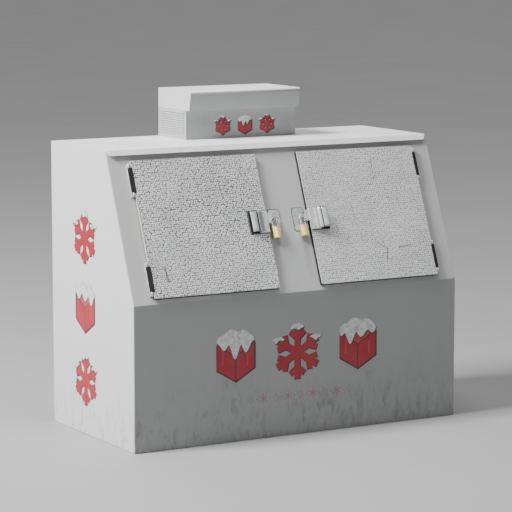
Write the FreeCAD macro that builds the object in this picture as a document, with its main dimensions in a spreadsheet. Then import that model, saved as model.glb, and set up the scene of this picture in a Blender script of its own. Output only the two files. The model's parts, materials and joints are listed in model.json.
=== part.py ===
"""Slant-front outdoor ice merchandiser with a refrigeration unit on its roof.

X runs along the front, +Y to the back and +Z up. The origin is on the floor, under the
middle of the whole object. The doors, hinges, latches and padlocks are modelled upright, with
their backs on the XZ plane, and then laid back onto the slanted face: there local X runs along
the front, local -Y points out of the face and local Z runs up the slope from the fold.
"""
import FreeCAD, Part
import os
import re

import Sketcher

Vector = FreeCAD.Vector
Rotation = FreeCAD.Rotation

DOC = FreeCAD.newDocument("ice_merchandiser")
SHEET = DOC.addObject("Spreadsheet::Sheet", "Sizes")
SUB_PARTS = []
SIDES = (("left", -1), ("right", 1))
HAIR = 1e-4     # millimetres; a length this short counts as none

DRIVING_SIZES = {
    # cabinet
    "width": 1850, "depth": 895, "roof_depth": 606, "fold_height": 715, "height": 1434,
    "skin": 1.5, "wall": 50, "liner": 1.5, "panel_lift": 2,
    "skid_height": 30, "skid_width": 60, "skid_wall": 3, "skid_inset": 90,
    "lip_reach": 24, "lip_drop": 26, "lip_mitre": 27,
    # doorways and doors, measured on the slanted face
    "stile": 240, "jamb": 110, "door_foot": 24, "door_head": 62.9, "door_proud": 18,
    "door_corner": 7, "door_edge": 2, "door_sheet": 1.2, "overlap": 40, "plug_depth": 40,
    "door_play": 4, "breaker": 2, "gasket_height": 6, "gasket_width": 14, "gasket_inset": 4,
    "rest_gap": 0.3, "past": 5,
    # hinges
    "hinge_length": 165, "hinge_inset": 15, "knuckle_length": 20, "knuckle_radius": 6.5,
    "pin_offset": 7, "pin_stand": 12, "pin_radius": 2.5, "pin_play": 0.08, "pin_slot": 4,
    "bracket_sheet": 2.5, "bracket_half_width": 10, "knuckle_web": 10, "pin_head_radius": 4.25,
    "barrel_web_gap": 1,
    # latches
    "latch_height": 112, "latch_foot": 306, "latch_base_width": 106, "latch_sheet": 2.5,
    "latch_case_width": 42, "latch_case_height": 8, "latch_case_round": 3,
    "grip_rise": 24, "grip_width": 24, "grip_slope": 36, "grip_sheet": 2.5, "grip_hook": 5,
    "grip_gap": 1, "grip_lift": 4, "grip_step": 1, "trunnion_radius": 3, "trunnion_inset": 0.5,
    "ear_sheet": 4, "ear_rim": 2, "bite": 1,
    "tongue_reach": 22, "tongue_height": 56, "tongue_sheet": 3, "tongue_lift": 1,
    "tab_width": 22, "tab_depth": 13, "tab_rim": 4,
    "keeper_width": 62, "keeper_height": 115, "keeper_sheet": 3, "keeper_corner": 8,
    "keeper_gap": 20, "keeper_drop": 71,
    # padlocks
    "lock_centre": 80, "lock_rise": 75, "shackle_wire": 6.4, "shackle_radius": 13.5,
    "shackle_play": 0.4, "leg_play": 0.08, "long_leg": 30, "short_leg": 12, "lock_width": 46,
    "lock_body_height": 60, "lock_thickness": 20, "lock_drop": 45, "lock_round": 3,
    # floor rack
    "rack_slats": 7, "slat_width": 70, "slat_sheet": 12, "bearer_width": 40, "rack_clearance": 12,
    # housing of the refrigeration unit
    "cowl_width": 640, "cowl_back_gap": 8, "cowl_depth": 297, "cowl_box_height": 148,
    "cowl_sheet": 1.5, "hood_height": 99, "hood_reach_top": 54, "hood_reach_low": 32,
    "hood_round": 16, "louvre_count": 10, "louvre_pitch": 12, "louvre_foot": 26,
    "louvre_inset": 25, "louvre_slot": 5, "louvre_blade": 8, "blade_sheet": 1, "louvre_angle": 35,
    "blade_lift": 0.6, "screw_radius": 4, "screw_head": 2.2, "screw_foot": 12, "screw_top": 10,
    # condensing unit
    "compressor_radius": 72, "compressor_body": 110, "compressor_x": 95, "dome_round": 32,
    "grommet_radius": 11, "grommet_height": 14, "grommet_inset": 14, "foot_reach": 88,
    "foot_sheet": 4, "coil_depth": 44, "coil_inset": 24, "coil_height": 200, "coil_side_gap": 16,
    "fin_count": 22, "fin_sheet": 0.8, "tube_radius": 4.8, "tube_rows": 5, "tube_reach": 8,
    "shroud_sheet": 2, "shroud_ring": 22, "fan_radius": 84, "fan_play": 5, "fan_gap": 8,
    "blade_count": 5, "blade_chord": 62, "blade_thick": 1.6, "blade_pitch": 28, "hub_radius": 20,
    "hub_length": 20, "motor_radius": 42, "motor_length": 60, "motor_gap": 8, "shaft_radius": 4,
    "shaft_play": 0.05, "bracket_width": 24,
    "drier_radius": 11, "drier_length": 90, "drier_lift": 40, "drier_reach": 145,
    "drier_forward": 60, "control_width": 90, "control_depth": 120,
    "control_height": 110, "control_round": 4, "dial_radius": 16, "dial_height": 14, "dial_stem": 4,
    "pointer_width": 5, "pointer_height": 5, "pointer_edge": 2,
    "line_radius": 5, "line_bend": 12, "line_rise": 30, "line_spacing": 16,
    "port_radius": 22, "port_reach": 205,
    # evaporator under the ceiling
    "evap_width": 560, "evap_depth": 240, "evap_height": 130, "evap_sheet": 1.5,
    "evap_fan_radius": 50, "evap_chord": 36, "evap_motor_radius": 28, "evap_motor_length": 40,
    "evap_fan_gap": 8, "evap_coil_depth": 60, "evap_coil_gap": 20, "evap_coil_side": 20,
    "evap_coil_rows": 4, "evap_lift": 4, "header_radius": 6, "hanger_gap": 8,
    "evap_slot_count": 6, "evap_slot_pitch": 30, "evap_slot_width": 15, "evap_slot_edge": 20,
    "drain_bore": 7, "drain_side": 40, "drain_back": 30,
}

DERIVED_SIZES = {
    "slant": "atan((depth - roof_depth) / (height - fold_height))",
    "slope": "(height - fold_height) / cos(slant)",
    "overhang": "max(0; door_proud * cos(slant) - door_foot * sin(slant))",
    "half": "width / 2",
    "front": "-(depth - overhang) / 2",
    "back": "front + depth",
    "roof_front": "back - roof_depth",
    "shell": "skin + wall",
    "lining": "shell + liner",
    "inner_half": "half - shell",
    "pan_top": "skid_height + skin",
    "floor_top": "pan_top + wall",
    "inside_floor": "floor_top + liner",
    "ceiling": "height - lining",
    "inside_back": "back - lining",
    "fold_seam": "fold_height - skin * tan(slant / 2)",
    "door_width": "(width - stile) / 2 - jamb",
    "door_height": "slope - door_foot - door_head",
    "door_inner": "stile / 2",
    "door_outer": "door_inner + door_width",
    "door_top": "door_foot + door_height",
    "opening_inset": "overlap - door_play - breaker",
    "gasket_out": "gasket_height + rest_gap",
    "pin_x": "door_outer + pin_offset",
    "latch_top": "latch_foot + latch_height",
    "latch_end": "door_inner + latch_base_width",
    "case_outer": "door_inner + latch_case_width",
    "plate_top": "door_proud + latch_sheet",
    "case_top": "plate_top + latch_case_height",
    "pivot_x": "case_outer + trunnion_radius + rest_gap + grip_gap",
    "pivot_out": "plate_top + trunnion_radius + grip_sheet + grip_lift",
    "grip_top": "plate_top + grip_rise",
    "lock_pivot": "latch_foot + lock_rise",
    "lock_out": "keeper_sheet + rest_gap + lock_thickness / 2",
    "shackle_arc": "lock_pivot - shackle_radius",
    "lock_top": "lock_pivot - lock_drop",
    "keeper_low": "lock_pivot - keeper_drop",
    "cowl_half": "cowl_width / 2",
    "cowl_back": "back - cowl_back_gap",
    "cowl_front": "cowl_back - cowl_depth",
    "cowl_middle": "(cowl_front + cowl_back) / 2",
    "hood_foot": "height + cowl_box_height",
    "hood_top": "hood_foot + hood_height",
    "tray_top": "height + 2 * cowl_sheet",
    "coil_x": "-cowl_half + coil_side_gap",
    "shroud_x": "coil_x + coil_depth",
    "fan_z": "tray_top + coil_height / 2",
    "fan_x": "shroud_x + shroud_sheet + fan_gap",
    "motor_x": "fan_x + hub_length + motor_gap",
    "evap_foot": "ceiling - evap_height",
    "evap_front": "inside_back - evap_depth",
    "evap_fan_z": "ceiling - evap_height / 2",
    "port_x": "compressor_x - port_reach",
    "drier_x": "compressor_x - drier_reach",
    "drier_y": "cowl_middle - drier_forward",
    "foot_low": "tray_top + grommet_height",
    "dome_low": "foot_low + foot_sheet",
    "dome_top": "dome_low + compressor_body",
    "evap_coil_front": "cowl_middle + evap_coil_gap",
    "evap_coil_low": "evap_foot + evap_sheet + evap_lift",
}


def fill_sheet():
    """Write every size into the sheet: plain numbers first, then what follows from them."""
    cells = {name: str(size) for name, size in DRIVING_SIZES.items()}
    cells.update({name: "=" + formula for name, formula in DERIVED_SIZES.items()})
    for row, (name, content) in enumerate(cells.items(), start=1):
        SHEET.set(f"A{row}", name)
        SHEET.set(f"B{row}", content)
        SHEET.setAlias(f"B{row}", name)
    DOC.recompute()


ALIASES = set(DRIVING_SIZES) | set(DERIVED_SIZES)


def formula(text):
    """Point each alias in a formula at the sheet."""
    def pointed(word):
        return "Sizes." + word[0] if word[0] in ALIASES else word[0]

    return re.sub(r"[a-z_]+", pointed, str(text))


def size(text):
    """The present value of a formula, in millimetres or degrees."""
    found = SHEET.evalExpression(formula(text))
    return float(getattr(found, "Value", found))


def bind(thing, **formulas):
    for name, text in formulas.items():
        thing.setExpression(name, formula(text))


def place(thing, x="0", y="0", z="0"):
    for axis, text in zip("xyz", (x, y, z)):
        thing.setExpression("Placement.Base." + axis, formula(text))


def lean(thing, x="0", y="0", z="0"):
    """Lay an upright piece, placed at x, y, z, back onto the slanted face."""
    thing.Placement = FreeCAD.Placement(Vector(), Rotation(Vector(1, 0, 0), -size("slant")))
    thing.setExpression("Placement.Rotation.Angle", formula("-slant"))
    place(thing, x, f"front + ({y}) * cos(slant) + ({z}) * sin(slant)",
          f"fold_height - ({y}) * sin(slant) + ({z}) * cos(slant)")


def span(side, low, high):
    """A stretch along X given for the right-hand side, mirrored for the left."""
    return (low, high) if side > 0 else (f"-({high})", f"-({low})")


def along(side, x):
    return x if side > 0 else f"-({x})"


def box(name, x, y, z):
    """A block from (low, high) formulas along each axis."""
    block = DOC.addObject("Part::Box", name)
    for (low, high), edge in zip((x, y, z), ("Length", "Width", "Height")):
        bind(block, **{edge: f"({high}) - ({low})"})
    place(block, x[0], y[0], z[0])
    return block


TURNS = {"z": Rotation(), "x": Rotation(Vector(0, 1, 0), 90), "y": Rotation(Vector(1, 0, 0), -90)}


def rod(name, axis, radius, length, x="0", y="0", z="0"):
    """A cylinder along +X, +Y or +Z from the point given."""
    cylinder = DOC.addObject("Part::Cylinder", name)
    bind(cylinder, Radius=radius, Height=length)
    cylinder.Placement = FreeCAD.Placement(Vector(), TURNS[axis])
    place(cylinder, x, y, z)
    return cylinder


def fuse(name, *pieces):
    union = DOC.addObject("Part::MultiFuse", name)
    union.Shapes = list(pieces)
    union.Refine = True
    return union


def group(name, *pieces):
    """Separate solids that share one node."""
    together = DOC.addObject("Part::Compound", name)
    together.Links = list(pieces)
    return together


def cut(name, base, *tools):
    difference = DOC.addObject("Part::Cut", name)
    difference.Base = base
    difference.Tool = tools[0] if len(tools) == 1 else group(name + "_tools", *tools)
    return difference


def common(name, base, tool):
    shared = DOC.addObject("Part::Common", name)
    shared.Base = base
    shared.Tool = tool
    return shared


def mirrored(name, source):
    other = DOC.addObject("Part::Mirroring", name)
    other.Source = source
    other.Normal = (1, 0, 0)
    return other


def rounded(name, base, radius, wanted):
    """Round the edges that wanted() picks from the finished base."""
    DOC.recompute()
    fillet = DOC.addObject("Part::Fillet", name)
    fillet.Base = base
    edges = enumerate(base.Shape.Edges, start=1)
    fillet.Edges = [(number, size(radius), size(radius)) for number, edge in edges if wanted(edge)]
    return fillet


def runs_along(edge, axis):
    bounds = edge.BoundBox
    extents = {"x": bounds.XLength, "y": bounds.YLength, "z": bounds.ZLength}
    return all((extent > HAIR) == (name == axis) for name, extent in extents.items())


def profile(name, plane, points, length, middle=False):
    """A PartDesign body: a straight-sided outline, each corner tied to the sheet, padded."""
    body = DOC.addObject("PartDesign::Body", name)
    sketch = body.newObject("Sketcher::SketchObject", name + "_outline")
    origin_plane = [feature for feature in body.Origin.OriginFeatures if feature.Role == plane][0]
    sketch.AttachmentSupport = (origin_plane, [""])
    sketch.MapMode = "FlatFace"
    corners = [Vector(size(across), size(up), 0) for across, up in points]
    for number, corner in enumerate(corners):
        sketch.addGeometry(Part.LineSegment(corner, corners[(number + 1) % len(corners)]), False)
    for number in range(len(corners)):
        sketch.addConstraint(Sketcher.Constraint("Coincident", number, 2, (number + 1) % len(corners), 1))
    for number, corner in enumerate(points):
        for direction, text in zip(("DistanceX", "DistanceY"), corner):
            constraint = sketch.addConstraint(Sketcher.Constraint(direction, -1, 1, number, 1, size(text)))
            sketch.setExpression(f"Constraints[{constraint}]", formula(text))
    pad = body.newObject("PartDesign::Pad", name + "_pad")
    pad.Profile = sketch
    bind(pad, Length=length)
    pad.Midplane = middle
    return body


def keep(thing, name):
    """Hand a finished sub-part in under its own name."""
    thing.Label = name
    SUB_PARTS.append(thing)
    return thing


# ---------------------------------------------------------------- cabinet


def slanted_slab(name, x, inset, low, high):
    """The cabinet's side outline, drawn in by inset, between two X positions and two heights."""
    block = box(name + "_block", x, (f"front + {inset}", f"back - ({inset})"), (low, high))
    waste = box(name + "_waste", (f"{x[0]} - past", f"{x[1]} + past"), (f"{inset} - depth", inset),
                ("-wall", "slope + depth"))
    lean(waste, f"{x[0]} - past", f"{inset} - depth", "-wall")
    return cut(name, block, waste)


def doorway(name, side, inset, near, far):
    """The block that cuts one doorway through the slanted face, between two depths into it."""
    x_low, x_high = span(side, f"door_inner + {inset}", f"door_outer - ({inset})")
    low, high = f"door_foot + {inset}", f"door_top - ({inset})"
    block = box(name, (x_low, x_high), (near, far), (low, high))
    lean(block, x_low, near, low)
    return block


def doorways(name, inset, near, far):
    return [doorway(name + "_doorway_" + word, side, inset, near, far) for word, side in SIDES]


def base_skids():
    """Three steel runners, open tubes, that carry the cabinet on the floor."""
    skids = []
    for number, middle in enumerate(("front + skid_inset", "(front + back) / 2", "back - skid_inset")):
        tube = box(f"skid_{number}", ("-half + 2 * skin", "half - 2 * skin"),
                   (f"{middle} - skid_width / 2", f"{middle} + skid_width / 2"), ("0", "skid_height"))
        bore = box(f"skid_bore_{number}", ("-half", "half"),
                   (f"{middle} - skid_width / 2 + skid_wall", f"{middle} + skid_width / 2 - skid_wall"),
                   ("skid_wall", "skid_height - skid_wall"))
        skids.append(cut(f"skid_tube_{number}", tube, bore))
    keep(group("skids", *skids), "base_skids")


def outer_panels():
    """Painted steel skins: bottom pan, sides, back, lower front and the slanted door surround."""
    keep(box("bottom_pan", ("-half + skin", "half - skin"), ("front + skin", "back - skin"),
             ("skid_height", "pan_top")), "bottom_pan")
    keep(slanted_slab("left_side", ("-half", "-half + skin"), "skin", "panel_lift", "height - skin"),
         "left_side_panel")
    keep(slanted_slab("right_side", ("half - skin", "half"), "skin", "panel_lift", "height - skin"),
         "right_side_panel")
    keep(box("rear_panel", ("-half", "half"), ("back - skin", "back"), ("panel_lift", "height - skin")),
         "rear_panel")
    keep(box("lower_front", ("-half", "half"), ("front", "front + skin"), ("panel_lift", "fold_seam")),
         "lower_front_panel")


def door_surround():
    """The slanted sheet with its two doorways."""
    outside = slanted_slab("surround_outside", ("-half", "half"), "0", "fold_seam", "height - skin")
    inside = slanted_slab("surround_inside", ("-half - past", "half + past"), "skin", "fold_seam - past",
                          "height")
    behind = box("surround_behind", ("-half - past", "half + past"), ("back - skin - past", "back + past"),
                 ("fold_seam - past", "height"))
    keep(cut("surround", outside, inside, behind, *doorways("surround", "opening_inset", "-past", "wall")),
         "door_surround")


def roof_panel():
    """Roof sheet, its front edge turned down into a drip lip whose ends are mitred back."""
    sheet = box("roof_sheet", ("-half", "half"), ("roof_front", "back"), ("height - skin", "height"))
    lip = lip_block("lip_outside", "0", "height - lip_drop", "height")
    hollow = lip_block("lip_inside", "skin", "height - lip_drop - past", "height - skin")
    ports = rod("roof_port", "z", "port_radius", "wall", "port_x", "cowl_middle", "height - wall / 2")
    cabinet = slanted_slab("lip_cabinet", ("-half - past", "half + past"), "0", "fold_height",
                           "height - skin")
    keep(cut("roof", fuse("roof_union", sheet, cut("lip", lip, hollow, cabinet)), ports), "roof_panel")


def lip_block(name, inset, low, high):
    """A strip in front of the roof that narrows towards its front, as seen from above."""
    strip = DOC.addObject("Part::Wedge", name)
    bind(strip, Xmin=f"-half + lip_mitre + {inset} / 2", Xmax=f"half - lip_mitre - {inset} / 2",
         X2min=f"-half + {inset} * 1.5", X2max=f"half - {inset} * 1.5",
         Ymin=f"roof_front - lip_reach + {inset}", Ymax=f"roof_front + {inset} / 10",
         Zmin=low, Z2min=low, Zmax=high, Z2max=high)
    return strip


def insulation():
    """Foam slabs between the outer skins and the liner."""
    keep(box("floor_foam", ("-half + skin", "half - skin"), ("front + skin", "back - skin"),
             ("pan_top", "floor_top")), "floor_insulation")
    keep(slanted_slab("left_foam", ("-half + skin", "-inner_half"), "skin", "floor_top", "height - skin"),
         "left_insulation")
    keep(slanted_slab("right_foam", ("inner_half", "half - skin"), "skin", "floor_top", "height - skin"),
         "right_insulation")
    keep(box("rear_foam", ("-inner_half", "inner_half"), ("back - shell", "back - skin"),
             ("floor_top", "height - skin")), "rear_insulation")
    keep(box("front_foam", ("-inner_half", "inner_half"), ("front + skin", "front + shell"),
             ("floor_top", "fold_seam")), "front_insulation")
    slab = slanted_slab("roof_foam", ("-inner_half", "inner_half"), "skin", "height - shell", "height - skin")
    behind = box("roof_foam_end", ("-half", "half"), ("back - shell", "back"), ("height - depth", "height"))
    port = rod("foam_port", "z", "port_radius", "2 * wall", "port_x", "cowl_middle", "height - 2 * wall")
    keep(cut("roof_foam_cut", slab, behind, port), "roof_insulation")


def face_insulation():
    """The foamed frame round the two doorways: jambs, header, sill and the middle post."""
    outside = slanted_slab("face_outside", ("-inner_half", "inner_half"), "skin", "fold_seam",
                           "height - shell")
    inside = slanted_slab("face_inside", ("-half", "half"), "shell", "fold_seam - past", "height")
    behind = box("face_behind", ("-half", "half"), ("back - shell - past", "back + past"), ("0", "height"))
    keep(cut("face_foam", outside, inside, behind, *doorways("face", "opening_inset", "0", "2 * wall")),
         "face_insulation")


def inner_liner():
    """The aluminium lining: one thin shell, open at both doorways."""
    outside = slanted_slab("liner_outside", ("-inner_half", "inner_half"), "shell", "floor_top",
                           "height - shell")
    inside = slanted_slab("liner_inside", ("-inner_half + liner", "inner_half - liner"), "lining",
                          "inside_floor", "ceiling")
    port = rod("liner_port", "z", "port_radius", "wall", "port_x", "cowl_middle", "ceiling - wall / 2")
    keep(cut("lining_shell", outside, inside, port, *doorways("liner", "opening_inset", "0", "2 * wall")),
         "inner_liner")


def breaker_frames():
    """Plastic strips that line each doorway's throat from the outer skin to the liner."""
    frames = []
    for word, side in SIDES:
        outer = upright_ring_block(f"breaker_outer_{word}", side, "opening_inset", "0", "lining")
        inner = upright_ring_block(f"breaker_inner_{word}", side, "opening_inset + breaker", "-past",
                                   "lining + past")
        frames.append(cut(f"breaker_{word}", outer, inner))
    both = group("breakers", *frames)
    lean(both)
    keep(both, "breaker_frames")


def upright_ring_block(name, side, inset, near, far):
    """A block as large as a door less inset on every side, between two depths into the face."""
    x = span(side, f"door_inner + {inset}", f"door_outer - ({inset})")
    return box(name, x, (near, far), (f"door_foot + {inset}", f"door_top - ({inset})"))


def floor_rack():
    """The slatted rack that keeps the ice bags off the floor."""
    low, top = "inside_floor", "inside_floor + 2 * slat_sheet"
    x_end = "inner_half - liner - rack_clearance"
    y_low, y_high = "front + lining + rack_clearance", "inside_back - rack_clearance"
    middles = (f"-({x_end}) + 2 * bearer_width", "0", f"({x_end}) - 2 * bearer_width")
    pieces = []
    for number, middle in enumerate(middles):
        x = (f"{middle} - bearer_width / 2", f"{middle} + bearer_width / 2")
        pieces.append(box(f"bearer_{number}", x, (y_low, y_high), (low, f"{low} + slat_sheet")))
    count = int(size("rack_slats"))
    for number in range(count):
        start = f"{y_low} + ({y_high} - ({y_low}) - slat_width) * {number} / {count - 1}"
        pieces.append(box(f"slat_{number}", (f"-({x_end})", x_end), (start, f"{start} + slat_width"),
                          (f"{low} + slat_sheet", top)))
    keep(fuse("rack", *pieces), "floor_rack")


# ---------------------------------------------------------------- doors


def door(word, side):
    """One door: embossed aluminium skin, foam core, inner pan and magnetic gasket."""
    door_skin(word, side)
    door_core(word, side)
    door_liner(word, side)
    door_gasket(word, side)


def leaf(name, side, inset, low_out, high_out):
    """A block as large as the door less inset, between two heights out of the slanted face."""
    return upright_ring_block(name, side, inset, f"-({high_out})", f"-({low_out})")


def door_skin(word, side):
    block = leaf(f"{word}_skin_block", side, "0", "gasket_out", "door_proud")
    corners = rounded(f"{word}_skin_corners", block, "door_corner", lambda edge: runs_along(edge, "y"))
    DOC.recompute()
    face = size("-door_proud")
    edged = rounded(f"{word}_skin_edge", corners, "door_edge",
                    lambda edge: abs(edge.BoundBox.YMin - face) + abs(edge.BoundBox.YMax - face) < HAIR)
    hollow = leaf(f"{word}_skin_hollow", side, "door_sheet", "0", "door_proud - door_sheet")
    hollow_round = rounded(f"{word}_skin_hollow_corners", hollow, "door_corner - door_sheet",
                           lambda edge: runs_along(edge, "y"))
    pan = cut(f"{word}_skin", edged, hollow_round)
    lean(pan)
    keep(pan, f"{word}_door_skin")


def door_core(word, side):
    slab = leaf(f"{word}_core_slab", side, "door_sheet", "gasket_out + liner", "door_proud - door_sheet")
    slab_round = rounded(f"{word}_core_corners", slab, "door_corner - door_sheet",
                         lambda edge: runs_along(edge, "y"))
    plug = leaf(f"{word}_core_plug", side, "overlap + liner", "liner - plug_depth", "gasket_out + liner")
    core = fuse(f"{word}_core", slab_round, plug)
    lean(core)
    keep(core, f"{word}_door_core")


def door_liner(word, side):
    flange = leaf(f"{word}_liner_flange", side, "door_sheet", "gasket_out", "gasket_out + liner")
    flange_round = rounded(f"{word}_liner_corners", flange, "door_corner - door_sheet",
                           lambda edge: runs_along(edge, "y"))
    plug = leaf(f"{word}_liner_plug", side, "overlap", "-plug_depth", "gasket_out")
    hollow = leaf(f"{word}_liner_hollow", side, "overlap + liner", "liner - plug_depth",
                  "gasket_out + 2 * liner")
    pan = cut(f"{word}_liner", fuse(f"{word}_liner_union", flange_round, plug), hollow)
    lean(pan)
    keep(pan, f"{word}_door_liner")


def door_gasket(word, side):
    outer = leaf(f"{word}_gasket_outer", side, "gasket_inset", "rest_gap", "gasket_out")
    inner = leaf(f"{word}_gasket_inner", side, "gasket_inset + gasket_width", "0", "gasket_out + past")
    ring = cut(f"{word}_gasket", outer, inner)
    lean(ring)
    keep(ring, f"{word}_door_gasket")


def hinge_feet():
    """Where each hinge starts, up the slope: one near the door's top, one near its foot."""
    return (("upper", "door_top - hinge_inset - hinge_length"), ("lower", "door_foot + hinge_inset"))


def hinges():
    """Brackets and pins on the cabinet: each bracket is a plate with two end knuckles."""
    brackets, pins = [], []
    for word, side in SIDES:
        for place_word, foot in hinge_feet():
            name = f"{word}_{place_word}"
            brackets.append(hinge_bracket(name, side, foot))
            pins.append(hinge_pin(name, side, foot))
    all_brackets, all_pins = group("brackets", *brackets), group("pins", *pins)
    lean(all_brackets)
    lean(all_pins)
    keep(all_brackets, "hinge_brackets")
    keep(all_pins, "hinge_pins")


def hinge_bracket(name, side, foot):
    plate = box(f"{name}_plate", span(side, "pin_x - bracket_half_width", "pin_x + bracket_half_width"),
                ("-bracket_sheet", "0"), (foot, f"{foot} + hinge_length"))
    pieces = [plate]
    for number, low in enumerate((foot, f"{foot} + hinge_length - knuckle_length")):
        pieces.append(rod(f"{name}_knuckle_{number}", "z", "knuckle_radius", "knuckle_length",
                          along(side, "pin_x"), "-pin_stand", low))
        web_x = span(side, "pin_x - knuckle_web / 2", "pin_x + knuckle_web / 2")
        pieces.append(box(f"{name}_web_{number}", web_x, ("-pin_stand", "0"),
                          (low, f"{low} + knuckle_length")))
    bore = rod(f"{name}_bore", "z", "pin_radius", "hinge_length + 2 * past", along(side, "pin_x"),
               "-pin_stand", f"{foot} - past")
    return cut(f"{name}_bracket", fuse(f"{name}_bracket_union", *pieces), bore)


def hinge_pin(name, side, foot):
    shaft = rod(f"{name}_shaft", "z", "pin_radius", "hinge_length", along(side, "pin_x"), "-pin_stand", foot)
    head = rod(f"{name}_head", "z", "pin_head_radius", "pin_radius", along(side, "pin_x"), "-pin_stand",
               f"{foot} + hinge_length")
    return fuse(f"{name}_pin", shaft, head)


def hinge_barrels(word, side):
    """The door's half of its hinges: nylon barrels, slotted in front, so the pin shows."""
    barrels = []
    length = "hinge_length - 2 * knuckle_length - 2 * rest_gap"
    for place_word, foot in hinge_feet():
        name = f"{word}_{place_word}_barrel"
        low = f"{foot} + knuckle_length + rest_gap"
        tube = rod(f"{name}_tube", "z", "knuckle_radius", length, along(side, "pin_x"), "-pin_stand", low)
        web = box(f"{name}_web", span(side, "door_outer", "pin_x"),
                  ("-door_proud + door_edge", "-gasket_out - barrel_web_gap"), (low, f"{low} + {length}"))
        bore = rod(f"{name}_bore", "z", "pin_radius + pin_play", f"{length} + 2 * past",
                   along(side, "pin_x"), "-pin_stand", f"{low} - past")
        slot = box(f"{name}_slot", span(side, "pin_x - pin_slot / 2", "pin_x + pin_slot / 2"),
                   ("-pin_stand - 2 * knuckle_radius", "-pin_stand"),
                   (f"{low} - past", f"{low} + {length} + past"))
        barrels.append(cut(name, fuse(f"{name}_union", tube, web), bore, slot))
    both = group(f"{word}_barrels", *barrels)
    lean(both)
    keep(both, f"{word}_hinge_barrels")


# ---------------------------------------------------------------- latches and padlocks


def latch_base():
    """Right-hand latch base: plate, raised case, two ears for the grip, and the locking tongue."""
    height = ("latch_foot", "latch_top")
    plate = box("latch_plate", ("door_inner", "latch_end"), ("-plate_top", "-door_proud"), height)
    plate_round = rounded("latch_plate_corners", plate, "latch_case_round",
                          lambda edge: runs_along(edge, "y"))
    case = box("latch_case", ("door_inner", "case_outer"), ("-case_top", "-plate_top"), height)
    case_round = rounded("latch_case_edges", case, "latch_case_round",
                         lambda edge: edge.BoundBox.YMax < size("-case_top") + HAIR)
    ears = []
    for number, low in enumerate(("latch_foot", "latch_top - ear_sheet")):
        ears.append(box(f"latch_ear_{number}", ("case_outer - bite", "pivot_x + trunnion_radius + ear_rim"),
                        ("-pivot_out - trunnion_radius - ear_rim", "-plate_top"),
                        (low, f"{low} + ear_sheet")))
    bore = rod("latch_bore", "z", "trunnion_radius + pin_play", "latch_height + 2 * past", "pivot_x",
               "-pivot_out", "latch_foot - past")
    under = "-plate_top - tongue_lift"
    tongue = box("latch_tongue", ("door_inner - tongue_reach", "door_inner + bite"),
                 (f"{under} - tongue_sheet", under),
                 ("lock_pivot - tongue_height / 2", "lock_pivot + tongue_height / 2"))
    tab = box("latch_tab", ("door_inner - tongue_reach", "door_inner - tongue_reach + tongue_sheet"),
              (under, f"{under} + tab_depth"), ("lock_pivot - tab_width / 2", "lock_pivot + tab_width / 2"))
    eye = rod("latch_eye", "x", "shackle_wire / 2 + shackle_play", "2 * tongue_reach",
              "door_inner - 1.5 * tongue_reach", "-lock_out", "lock_pivot")
    solid = fuse("latch_union", plate_round, case_round, *ears, tongue, tab)
    return cut("latch_base_right", solid, bore, eye)


def latch_grip():
    """Right-hand pull: a bent strip that rises over the case's edge, runs flat and turns down."""
    start, crest = "case_outer + rest_gap + grip_gap", "case_outer + grip_slope * 2 / 3"
    end, under = "case_outer + grip_slope + grip_width", "-(grip_top - grip_sheet)"
    points = [
        (start, "-(pivot_out - trunnion_radius)"),
        (start, "-(pivot_out + trunnion_radius)"),
        (crest, "-grip_top"),
        (end, "-grip_top"),
        (end, "-(grip_top - grip_hook)"),
        (f"{end} - grip_sheet", "-(grip_top - grip_hook)"),
        (f"{end} - grip_sheet", under),
        (f"{crest} + grip_step", under),
        (f"{start} + 2 * trunnion_radius", "-(pivot_out - trunnion_radius)"),
    ]
    strip = profile("grip_strip", "XY_Plane", points, "latch_height - 2 * ear_sheet - 2 * rest_gap")
    place(strip, z="latch_foot + ear_sheet + rest_gap")
    pins = rod("grip_trunnions", "z", "trunnion_radius", "latch_height - 2 * trunnion_inset",
               "pivot_x", "-pivot_out", "latch_foot + trunnion_inset")
    soft = rounded("grip_soft", strip, "grip_sheet / 2",
                   lambda edge: runs_along(edge, "z") and edge.BoundBox.YMax < size("-grip_top") + HAIR)
    return fuse("latch_grip_right", soft, pins)


def keeper(word, side):
    """The strike plate on the middle post, with the tab that the padlock hangs from."""
    x = span(side, "door_inner - keeper_gap - keeper_width", "door_inner - keeper_gap")
    plate = box(f"{word}_keeper_plate", x, ("-keeper_sheet", "0"),
                ("keeper_low", "keeper_low + keeper_height"))
    plate_round = rounded(f"{word}_keeper_corners", plate, "keeper_corner",
                          lambda edge: runs_along(edge, "y"))
    tab_x = span(side, "lock_centre - keeper_sheet / 2", "lock_centre + keeper_sheet / 2")
    tab = box(f"{word}_keeper_tab", tab_x, ("-lock_out - shackle_wire / 2 - shackle_play - tab_rim", "0"),
              ("lock_pivot - tab_width / 2", "lock_pivot + tab_width / 2"))
    tab_round = rounded(f"{word}_keeper_tab_edges", tab, "tab_width / 4",
                        lambda edge: runs_along(edge, "x") and edge.BoundBox.YMax < size("-lock_out"))
    eye = rod(f"{word}_keeper_eye", "x", "shackle_wire / 2 + shackle_play", "width",
              "-half", "-lock_out", "lock_pivot")
    return cut(f"{word}_keeper", fuse(f"{word}_keeper_union", plate_round, tab_round), eye)


def keepers():
    both = group("keepers", *[keeper(word, side) for word, side in SIDES])
    lean(both)
    keep(both, "lock_keepers")


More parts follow.
